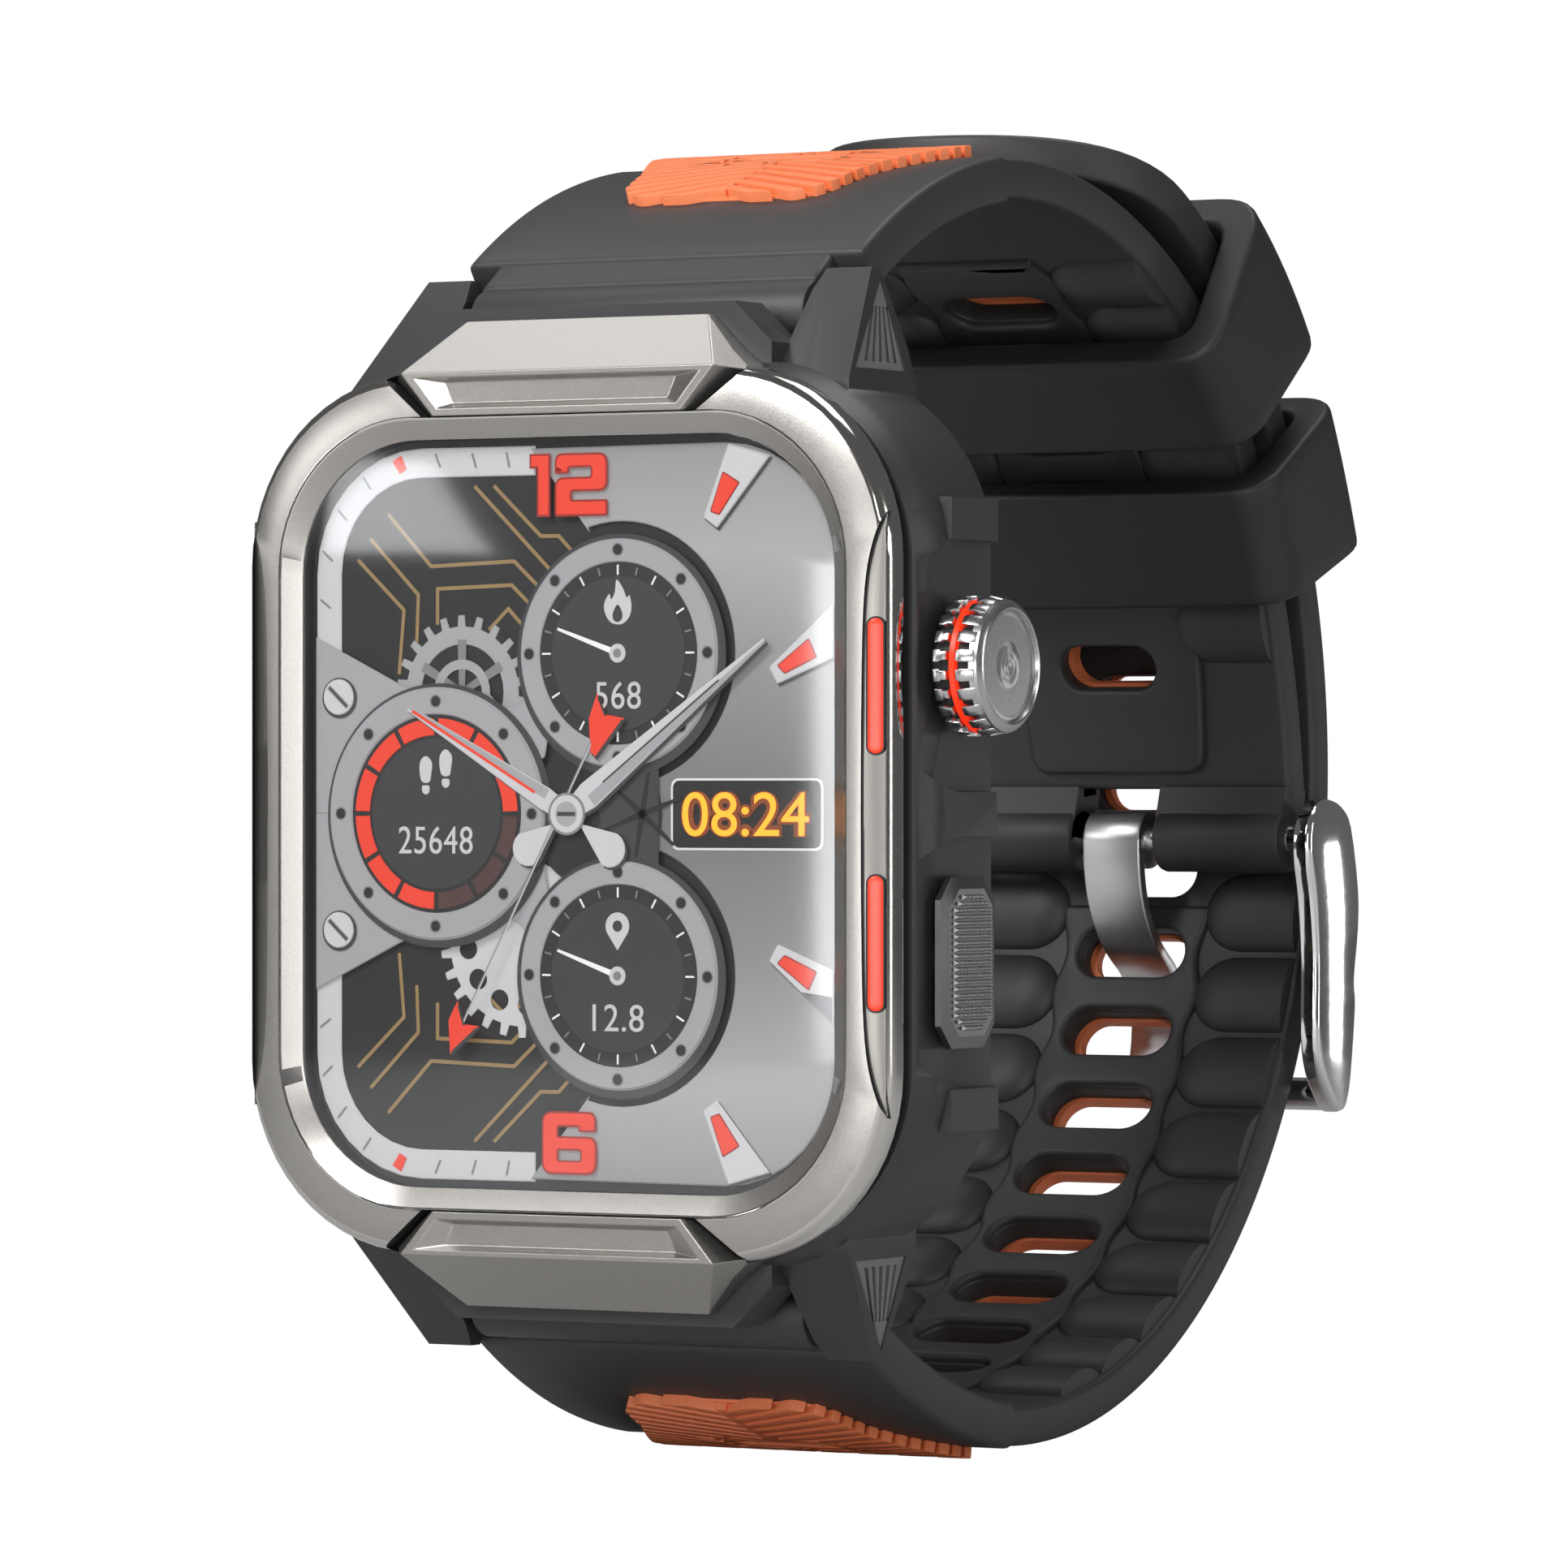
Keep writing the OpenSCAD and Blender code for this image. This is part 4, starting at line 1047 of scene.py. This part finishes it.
d_dim = lit("dial_dim", (0.05, 0.022, 0.02), 0.4)
d_red = lit("dial_red", (0.55, 0.030, 0.010), 0.5)
d_deep = lit("dial_deep_red", (0.22, 0.008, 0.003), 0.4)
d_gold = lit("dial_gold", (0.20, 0.13, 0.05), 0.45)
d_amber = lit("dial_amber", (1.0, 0.33, 0.015), 0.85)
d_halo = lit("dial_halo", (0.16, 0.035, 0.002), 0.5)

layers = []


def art(loops, y, mat, thick=0.03, bevel=0.0):
    """One flat shape of the picture with its front at depth y."""
    def at(u, v, w):
        return P(u, y - w, v)
    layers.append(finish_mesh("picture", plate(loops, -thick, 0.0, at, (0.0, bevel), 1), mat, 30))


def bar(x0, z0, x1, z1, w, y, mat, w1=None):
    """A straight line of width w, or running from w to w1."""
    a, b = Vector((x0, z0)), Vector((x1, z1))
    d = (b - a).normalized()
    n = Vector((-d.y, d.x))
    w1 = w if w1 is None else w1
    art([[tuple(a + n * w / 2), tuple(a - n * w / 2), tuple(b - n * w1 / 2),
          tuple(b + n * w1 / 2)]], y, mat)


def stroke(pts, w, y, mat):
    """A line of even width through the points."""
    n = len(pts)
    left, right = [], []
    for i in range(n):
        p = Vector(pts[i])
        a = Vector(pts[max(i - 1, 0)])
        b = Vector(pts[min(i + 1, n - 1)])
        u = (p - a).normalized() if i else (b - p).normalized()
        v = (b - p).normalized() if i < n - 1 else u
        nu, nv = Vector((-u.y, u.x)), Vector((-v.y, v.x))
        k = nu + nv
        k = k / max(0.4, k.dot(nu))
        left.append(tuple(p + k * w / 2))
        right.append(tuple(p - k * w / 2))
    art([left + right[::-1]], y, mat)


def words(text, x, z, height, y, mat, spacing=1.0, bold=0.0, width=None):
    """Digits from the built-in font, centred on (x, z)."""
    cu = bpy.data.curves.new("digits", "FONT")
    cu.body, cu.align_x, cu.align_y = text, "CENTER", "CENTER"
    cu.space_character = spacing
    cu.extrude = 0.02
    cu.offset = bold
    o = bpy.data.objects.new("digits", cu)
    bpy.context.scene.collection.objects.link(o)
    bpy.context.view_layer.update()
    me = bpy.data.meshes.new_from_object(o.evaluated_get(bpy.context.evaluated_depsgraph_get()))
    bpy.data.objects.remove(o)
    xs = [v.co.x for v in me.vertices]
    ys = [v.co.y for v in me.vertices]
    k = height / (max(ys) - min(ys))
    kx = width / (max(xs) - min(xs)) if width else k
    cx, cy = (max(xs) + min(xs)) / 2, (max(ys) + min(ys)) / 2
    for v in me.vertices:
        v.co = P(x + (v.co.x - cx) * kx, y - v.co.z, z + (v.co.y - cy) * k)
    me.materials.clear()
    me.materials.append(mat)
    o = bpy.data.objects.new("digits", me)
    bpy.context.scene.collection.objects.link(o)
    layers.append(o)


def mirrored(pts):
    """The outline turned upside down."""
    return [(x, -z) for x, z in pts]


# ground
art([rrect(32.3, 39.3, 7.0)], 0.98, d_black)

# circuit tracks
TRACKS = [
    [(-11.5, 15.9), (-8.8, 13.1), (-3.65, 13.3), (-1.3, 11.2)],
    [(-12.6, 14.6), (-9.6, 11.6), (-9.7, 9.1)],
    [(-13.4, 13.5), (-10.5, 10.8), (-10.8, 7.4)],
    [(-8.4, 10), (-8.4, 11.9), (-3.8, 12.05), (-2.3, 10.7)],
    [(-6.1, 17.3), (-1.4, 12.8)],
    [(-4.9, 17.3), (-2, 14.6), (-0.9, 14.6), (-0.1, 13.8)],
    [(-5.2, 9.7), (-4, 10.8), (-2.9, 9.7)]]
for track in TRACKS:
    for pts in (track, mirrored(track)):
        stroke(pts, 0.20, 0.93, d_gold)


# the picture's half width and height at the track, and its corner radius
TRACK = (15.95, 19.35, 6.6)


def half_band(x_out, z_out, r_out, w, x_end):
    """The track round the left half."""
    def run(hx, hz, r):
        pts = [(x_end, hz)]
        for i in range(9):
            t = radians(90 + 90 * i / 8)
            pts.append((-hx + r + r * cos(t), hz - r + r * sin(t)))
        for i in range(9):
            t = radians(180 + 90 * i / 8)
            pts.append((-hx + r + r * cos(t), -hz + r + r * sin(t)))
        pts.append((x_end, -hz))
        return pts
    return run(x_out, z_out, r_out) + run(x_out - w, z_out - w, r_out - w)[::-1]


art([half_band(*TRACK, 1.55, -2.3)], 0.86, d_light, 0.05, 0.06)


def edge_at(deg):
    """Distance from the centre to the edge of the picture in a direction."""
    hx, hz, r = TRACK
    d = Vector((sin(radians(deg)), cos(radians(deg))))
    for i in range(400):
        t = 5 + i * 0.06
        p = d * t
        x, z = abs(p.x), abs(p.y)
        out = x > hx or z > hz
        if x > hx - r and z > hz - r:
            out = math.hypot(x - hx + r, z - hz + r) > r
        if out:
            return t
    return t


# minute marks on the track, left out where the small dial and the big figures are
for deg in range(186, 360, 6):
    if not (190 <= deg <= 258 or 282 <= deg <= 350):
        continue
    d = Vector((sin(radians(deg)), cos(radians(deg))))
    edge = edge_at(deg)
    a, b = d * (edge - 0.35), d * (edge - 1.15)
    if deg in (210, 330):
        bar(a.x, a.y, b.x, b.y, 0.62, 0.80, d_red, 0.5)
    else:
        bar(a.x, a.y, b.x, b.y, 0.10, 0.80, d_mid)


def plate_half(s):
    """Upper (s = 1) half of the brushed plate's left edge, from the top to the middle."""
    R, cx, cz = 6.9, 3.0, 8.4
    a0 = math.degrees(math.atan2(14.7 - cz, 1.1 - cx))
    a1 = math.degrees(math.asin((1.95 - cz) / R))
    pts = [(-2.5, 19.2), (1.1, 14.75)] + arc(cx, cz, R, a0, a1, 30) + [(4.85, 1.85)]
    return [(x, z * s) for x, z in pts]


# brushed plate on the right: its left edge, then the two right corners of the picture
CORNER = 9
edge_r = rrect(31.8, 38.6, 6.6, CORNER - 1)
outline = plate_half(1) + plate_half(-1)[::-1] + edge_r[-CORNER:] + edge_r[:CORNER]
art([clean(outline, 0.05)], 0.72, d_brush, 0.06, 0.07)

# left plates, the bridge between the rings
for s in (1, -1):
    pts = [(-15.9, 9.4), (-9.85, 6.5), (-5.3, 3.4), (-3.0, 2.4), (-2.2, 0.0), (-15.9, 0.0)]
    pts = [(x, z * s) for x, z in pts]
    art([pts], 0.66, d_silver, 0.06, 0.06)
    pts = [(-5.05, 6.35), (-4.3, 5.6), (-3.4, 5.6), (-2.6, 6.3), (-2.2, 7.6), (-1.0, 6.0),
           (-1.6, 3.0), (-3.0, 2.0), (-4.5, 4.2)]
    art([[(x, z * s) for x, z in pts]], 0.64, d_silver, 0.06, 0.05)

# cavity behind the hands
art([circle(1.6, 0, 3.95, 48)], 0.60, d_black, 0.03)
wheel = []
for i in range(48):
    t = 2 * pi * i / 48
    r = 3.1 if (i // 2) % 2 else 2.75
    wheel.append((4.6 + r * cos(t), r * sin(t)))
art([clean([(min(x, 5.4), z) for x, z in wheel], 0.03)], 0.585, d_shade)
for t in (20, 80, 140, 200, 260, 320):
    bar(4.4, 0, 4.4 + 2.5 * cos(radians(t)), 2.5 * sin(radians(t)), 0.35, 0.57, d_black, 0.15)


def gear(cx, cz, r0, r1, bore, teeth, y, mat, holes=()):
    """Gear wheel from root radius r0 to tip radius r1."""
    pts = []
    for i in range(teeth):
        a = 360 / teeth
        for f, r in ((0.0, r0), (0.30, r0), (0.38, r1), (0.72, r1), (0.80, r0)):
            t = radians(a * (i + f))
            pts.append((cx + r * cos(t), cz + r * sin(t)))
    loops = [pts]
    if bore:
        loops.append(circle(cx, cz, bore, 32))
    loops += [circle(x, z, r, 16) for x, z, r in holes]
    art(loops, y, mat, 0.05, 0.04)


gear(-6.85, 6.4, 3.5, 4.1, 2.55, 22, 0.90, d_silver)
for t in (90, 210, 330, 30, 150):
    bar(-6.85, 6.4, -6.85 + 2.8 * cos(radians(t)), 6.4 + 2.8 * sin(radians(t)), 0.35, 0.89,
        d_mid, 0.55)
art([circle(-6.85, 6.4, 1.75, 32), circle(-6.85, 6.4, 1.25, 32)], 0.88, d_silver)
holes = [(-3.2 + 3.3 * cos(radians(t)), -6.8 + 3.3 * sin(radians(t)), 0.55)
         for t in range(186, 400, 30)]
gear(-3.2, -6.8, 4.4, 5.0, 0, 26, 0.90, d_light, holes)


def dial_base(cx, cz, y, shadow, ring, annulus, face, bolts, bevel):
    """A small dial's metal ring with eight bolts, its dark annulus and its face."""
    off, shadow_r, shadow_y = shadow
    art([circle(cx + off, cz - 0.1, shadow_r, 72)], shadow_y, d_shade)
    art([circle(cx, cz, ring[0], 96), circle(cx, cz, ring[1], 72)], y, d_silver, 0.12, bevel)
    art([circle(cx, cz, annulus, 72)], 0.50, d_annulus)
    art([circle(cx, cz, face, 72)], 0.46, d_face, 0.03, 0.03)
    for k in range(8):
        t = radians(45 * k)
        x, z = cx + bolts * cos(t), cz + bolts * sin(t)
        art([circle(x, z, 0.36, 20)], y - 0.005, d_mid)
        art([circle(x, z, 0.28, 20)], y - 0.01, d_black)


def subdial(cx, cz):
    """One of the two dials on the right, with its marks and pointer."""
    dial_base(cx, cz, 0.44, (0.12, 6.35, 0.56), (6.0, 4.72), 4.8, 4.05, 5.42, 0.12)
    for k in range(24):
        t = radians(15 * k)
        bright = k % 2 == 0
        r0, r1 = (4.1, 4.62) if bright else (4.2, 4.6)
        bar(cx + r0 * cos(t), cz + r0 * sin(t), cx + r1 * cos(t), cz + r1 * sin(t),
            0.10, 0.44, d_white if bright else d_mid)
    bar(cx + 0.35, cz - 0.12, cx - 3.65, cz + 1.3, 0.34, 0.40, d_white, 0.14)
    art([circle(cx, cz, 0.50, 24)], 0.39, d_light, 0.03, 0.03)
    art([circle(cx, cz, 0.24, 20)], 0.37, d_mid)


subdial(3.0, 8.4)
subdial(3.0, -8.45)
flame = smooth_path([(2.95, 12.25), (3.35, 11.75), (3.55, 11.3), (3.72, 11.42), (3.85, 10.9),
                     (3.75, 10.35), (3.4, 9.98), (3.0, 9.9), (2.55, 10.05), (2.25, 10.5),
                     (2.2, 11.0), (2.5, 11.5), (2.62, 11.2), (2.85, 11.6)], 3, True)
drop = smooth_path([(3.02, 10.95), (3.3, 10.5), (3.25, 10.15), (3.0, 10.02), (2.75, 10.15),
                    (2.72, 10.5)], 3, True)
art([flame, drop], 0.41, d_light)
pin_shape = [(3.0, -7.12)] + arc(3.0, -5.85, 0.72, -30, 210, 16)
art([pin_shape, circle(3.0, -5.85, 0.30, 16)], 0.41, d_light)
words("568", 3.05, 6.2, 1.42, 0.41, d_light, 1.05, 0.0, 2.75)
words("12.8", 3.05, -10.65, 1.42, 0.41, d_light, 1.05, 0.0, 3.1)

LX = -8.2
dial_base(LX, 0, 0.42, (0.15, 7.0, 0.55), (6.7, 5.2), 5.3, 4.0, 5.95, 0.13)
for k in range(12):
    a0, a1 = 30 * k + 1.6, 30 * k + 28.4
    seg = arc(LX, 0, 5.05, a0, a1, 8) + arc(LX, 0, 4.15, a1, a0, 8)
    art([seg], 0.45, d_dim if k in (9, 10, 11) else d_red, 0.03, 0.03)
words("25648", LX, -1.4, 1.45, 0.43, d_light, 1.05, 0.0, 4.6)
for s, lift in ((-1, 0.0), (1, 0.35)):
    x, z = LX + s * 0.62, 2.0 + lift
    sole = smooth_path([(x - 0.35, z + 0.75), (x, z + 1.05), (x + 0.38, z + 0.7),
                        (x + 0.33, z + 0.1), (x + 0.22, z - 0.32), (x - 0.22, z - 0.32),
                        (x - 0.38, z + 0.15)], 3, True)
    heel = [(x - 0.24, z - 0.5), (x + 0.22, z - 0.5), (x + 0.24, z - 0.85), (x, z - 1.02),
            (x - 0.24, z - 0.85)]
    art([sole], 0.43, d_light)
    art([rounded_poly(heel, 0.12, 3)], 0.43, d_light)

# digital window
art([rrect(9.1, 3.74, 0.45, 5, 10.65, 0)], 0.66, d_edge)
art([rrect(8.85, 3.50, 0.38, 5, 10.65, 0)], 0.65, d_black)
words("08:24", 10.6, 0.0, 2.42, 0.63, d_halo, 1.0, 0.06, 7.75)
words("08:24", 10.6, 0.0, 2.28, 0.60, d_amber, 1.0, 0.0, 7.55)


# big hour figures, each over a slightly larger deep red copy
ONE = [(-2.4, 18.85), (-1.25, 18.85), (-1.25, 15.65), (-1.95, 15.65), (-1.95, 18.2), (-2.4, 18.2)]
TWO = rounded_poly([(-0.85, 18.85), (2.25, 18.85), (2.25, 16.95), (0.05, 16.95), (0.05, 16.4),
                    (2.25, 16.4), (2.25, 15.65), (-0.85, 15.65), (-0.85, 17.6), (1.35, 17.6),
                    (1.35, 18.2), (-0.1, 18.2), (-0.1, 17.9), (-0.85, 17.9)],
                   [0.5, 0.5, 0.5, 0.2, 0.2, 0.05, 0.05, 0.1, 0.5, 0.2, 0.15, 0.15, 0.05, 0.05])
SIX = rounded_poly([(1.55, -15.65), (-1.65, -15.65), (-1.65, -18.85), (1.6, -18.85),
                    (1.6, -16.95), (-0.75, -16.95), (-0.75, -16.35), (0.6, -16.35), (0.6, -16.6),
                    (1.55, -16.6)],
                   [0.5, 0.6, 0.6, 0.6, 0.5, 0.1, 0.15, 0.1, 0.05, 0.05])
SIX_HOLE = rounded_poly([(-0.75, -17.6), (0.7, -17.6), (0.7, -18.2), (-0.75, -18.2)], 0.15)
for loops in ([ONE], [TWO], [SIX, SIX_HOLE]):
    grown = [inset(l if area2(l) > 0 else l[::-1], -0.06) for l in loops[:1]]
    art(grown + [inset(l if area2(l) > 0 else l[::-1], 0.04) for l in loops[1:]], 0.55, d_deep)
    art(loops, 0.53, d_red, 0.08, 0.07)

# hour wedges
WEDGES = [([(9.56, 19.25), (12.1, 18.55), (8.9, 14.8), (8.04, 15.4)],
           [(9.27, 17.8), (10.3, 17.2), (9.07, 15.5), (8.5, 15.7)]),
          ([(15.86, 10.9), (15.86, 8.05), (12.5, 6.7), (11.97, 7.6)],
           [(14.4, 9.1), (14.9, 8.1), (12.96, 7.24), (12.5, 7.7)])]
for outer, core in WEDGES:
    for f in (lambda p: p, mirrored):
        o, c = f(outer), f(core)
        art([[(x + 0.1, z - 0.1) for x, z in o]], 0.64, d_shade, 0.02)
        art([rounded_poly(o, 0.12, 2)], 0.58, d_light, 0.08, 0.09)
        art([rounded_poly(c, 0.10, 2)], 0.555, d_deep, 0.03)
        k = inset(c if area2(c) > 0 else c[::-1], 0.07)
        art([rounded_poly(k, 0.08, 2)], 0.54, d_red, 0.03)

# screws
for s in (1, -1):
    x, z = -14.4, 6.2 * s
    art([circle(x + 0.05, z - 0.05, 1.08, 32)], 0.59, d_shade)
    art([circle(x, z, 0.98, 32)], 0.54, d_light, 0.05, 0.08)
    t = radians(-42)
    bar(x - 0.8 * cos(t), z - 0.8 * sin(t), x + 0.8 * cos(t), z + 0.8 * sin(t), 0.26, 0.53, d_mid)
    bar(x - 0.74 * cos(t), z - 0.74 * sin(t), x + 0.74 * cos(t), z + 0.74 * sin(t), 0.12, 0.52,
        d_shade)


def hand(tip, tail, w_mid, w_tip, y, tail_r, body_from):
    """A hand with a round-ended tail over its shadow, the far side a little darker."""
    a, b = Vector(tail), Vector(tip)
    d = b.normalized()
    n = Vector((-d.y, d.x))
    back = math.degrees(math.atan2(-d.y, -d.x))
    start = d * body_from
    tail_shape = [n * 0.35, *arc(a.x, a.y, tail_r, back + 90, back - 90, 8), -n * 0.35]
    body = [start + n * w_mid, b + n * w_tip, b - n * w_tip, start - n * w_mid, -n * 0.45,
            n * 0.45]
    for off, lower, bevel, mat in ((0.14, 0.04, 0.0, d_shade), (0.0, 0.0, 0.05, d_light)):
        for shape in (tail_shape, body):
            art([[(q[0] + off, q[1] - off) for q in shape]], y + lower, mat, 0.03, bevel)
    low = [start, b, b - n * w_tip * 0.9, start - n * w_mid * 0.9]
    art([[tuple(q) for q in low]], y - 0.008, d_silver, 0.005)


hand((-9.9, 5.6), (2.55, -1.85), 0.62, 0.14, 0.34, 0.95, 1.6)
stroke([(-2.0, 1.13), (-9.6, 5.43)], 0.16, 0.325, d_red)
hand((11.9, 9.0), (-2.4, -1.8), 0.75, 0.12, 0.28, 0.95, 1.6)
stroke([(2.2, 1.66), (9.2, 6.96)], 0.10, 0.265, d_shade)
stroke([(1.84, 4.4), (-6.4, -11.0)], 0.13, 0.25, d_mid)
stroke([(1.88, 4.4), (-6.36, -11.0)], 0.06, 0.245, d_light)
tail_v = [(1.84, 6.3), (2.35, 5.2), (3.5, 5.0), (1.75, 2.9), (1.45, 3.2), (1.35, 5.0)]
arrow = [(-7.2, -12.7), (-5.4, -11.2), (-6.35, -11.1), (-6.75, -9.9), (-7.3, -10.9)]
for shape in (tail_v, arrow):
    art([[(x + 0.1, z - 0.1) for x, z in shape]], 0.245, d_shade, 0.005)
    art([shape], 0.235, d_red, 0.03, 0.08)
art([circle(0, 0, 1.12, 40)], 0.235, d_mid, 0.05)
art([circle(0, 0, 1.04, 40)], 0.21, d_light, 0.05, 0.07)
art([circle(0, 0, 0.66, 32)], 0.205, d_silver, 0.01)
bar(-0.55, 0, 0.55, 0, 0.22, 0.20, d_shade)

for o in layers:
    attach(o, "case")

# display panel and clear cover
nodes["display_panel"].data.materials.clear()
nodes["display_panel"].data.materials.append(d_black)
bm = plate([rrect(32.5, 39.5, 7.15, 10)], 0.99, 1.0, front, (0.0, 0.0), 1)
border = finish_mesh("glass_border", bm, seal, 30)
bm = plate([rrect(32.5, 39.5, 7.15, 12)], 0.0, 0.06, front, (0.03, 0.0), 2)
sheet = finish_mesh("cover_glass_shape", bm, glass, 30)
place(border, "case", "seal_black", "cover_glass")
place(sheet, "case", "glass")


# ---------------------------------------------------------------- floor, light and camera

def look(o, target):
    """Turns a light to face a point."""
    o.rotation_euler = (target - o.location).to_track_quat("-Z", "Y").to_euler()


def swap_for_camera(m, real, seen, out):
    """Shows the camera one shader and lets everything else meet another."""
    mix = node(m, "ShaderNodeMixShader")
    wire(m, node(m, "ShaderNodeLightPath"), "Is Camera Ray", mix, 0)
    wire(m, real, 0, mix, 1)
    wire(m, seen, 0, mix, 2)
    wire(m, mix, 0, out, "Surface")


floor_mat = material("floor_pale", (0.55, 0.55, 0.55), 0.6)
floor_nodes = floor_mat.node_tree.nodes
swap_for_camera(floor_mat, floor_nodes["Principled BSDF"],
                node(floor_mat, "ShaderNodeEmission", in_Strength=1.0),
                floor_nodes["Material Output"])
bm = bmesh.new()
bmesh.ops.create_circle(bm, cap_ends=True, segments=96, radius=0.9)
floor = finish_mesh("floor", bm, floor_mat)
floor.location = (0, 0.2, cad_box[0][2] - 0.0002)

# A long lens, level with the dial, to the right of square on.
LENS = 188.2
TURN = radians(29.7)
ASIDE, AWAY, ABOVE = 11.51, 429.06, 1.57
cam_data = bpy.data.cameras.new("camera")
cam_data.lens, cam_data.sensor_width = LENS, 36
cam_data.clip_end = 20
camera = bpy.data.objects.new("camera", cam_data)
bpy.context.scene.collection.objects.link(camera)
camera.location = P(ASIDE * cos(TURN) + AWAY * sin(TURN),
                    ASIDE * sin(TURN) - AWAY * cos(TURN), ABOVE)
camera.rotation_euler = (radians(90), 0, TURN)
bpy.context.scene.camera = camera


def softbox(name, where, size, power, target):
    """A rectangular light, in millimetres and watts."""
    d = bpy.data.lights.new(name, "AREA")
    d.shape, d.size, d.size_y = "RECTANGLE", size[0] / 1000, size[1] / 1000
    d.energy = power
    o = bpy.data.objects.new(name, d)
    bpy.context.scene.collection.objects.link(o)
    o.location = P(*where)
    look(o, P(*target))
    return o


CASE_MIDDLE = (0, 10, 0)
LIGHTS = (("key", (-60, -300, 260), (220, 160), 1.5, CASE_MIDDLE),
          ("right", (270, -300, 30), (50, 300), 0.55, (0, 0, 0)),
          ("rim", (420, 60, 60), (60, 300), 0.32, CASE_MIDDLE),
          ("back_right", (203, 440, -45), (50, 90), 0.09, CASE_MIDDLE),
          ("cap_light", (-160, 62, 300), (120, 110), 0.11, (0, 0, 25)),
          ("glass_glow", (-262, -260, 92), (110, 90), 0.16, (-10, 0, 15)),
          ("top", (60, 120, 340), (220, 120), 0.4, CASE_MIDDLE),
          ("low", (40, -340, 2), (150, 60), 0.26, (0, 10, -20)))
for light in LIGHTS:
    # the glow is only for the reflection in the glass
    softbox(*light).visible_diffuse = light[0] != "glass_glow"

world = bpy.data.worlds.new("studio")
bpy.context.scene.world = world
world.use_nodes = True
dim = world.node_tree.nodes["Background"]
dim.inputs["Color"].default_value = (1, 1, 1, 1)
dim.inputs["Strength"].default_value = 0.12
white = node(world, "ShaderNodeBackground", in_Color=(1, 1, 1, 1), in_Strength=1.0)
swap_for_camera(world, dim, white, world.node_tree.nodes["World Output"])
bpy.context.scene.view_settings.view_transform = "Standard"
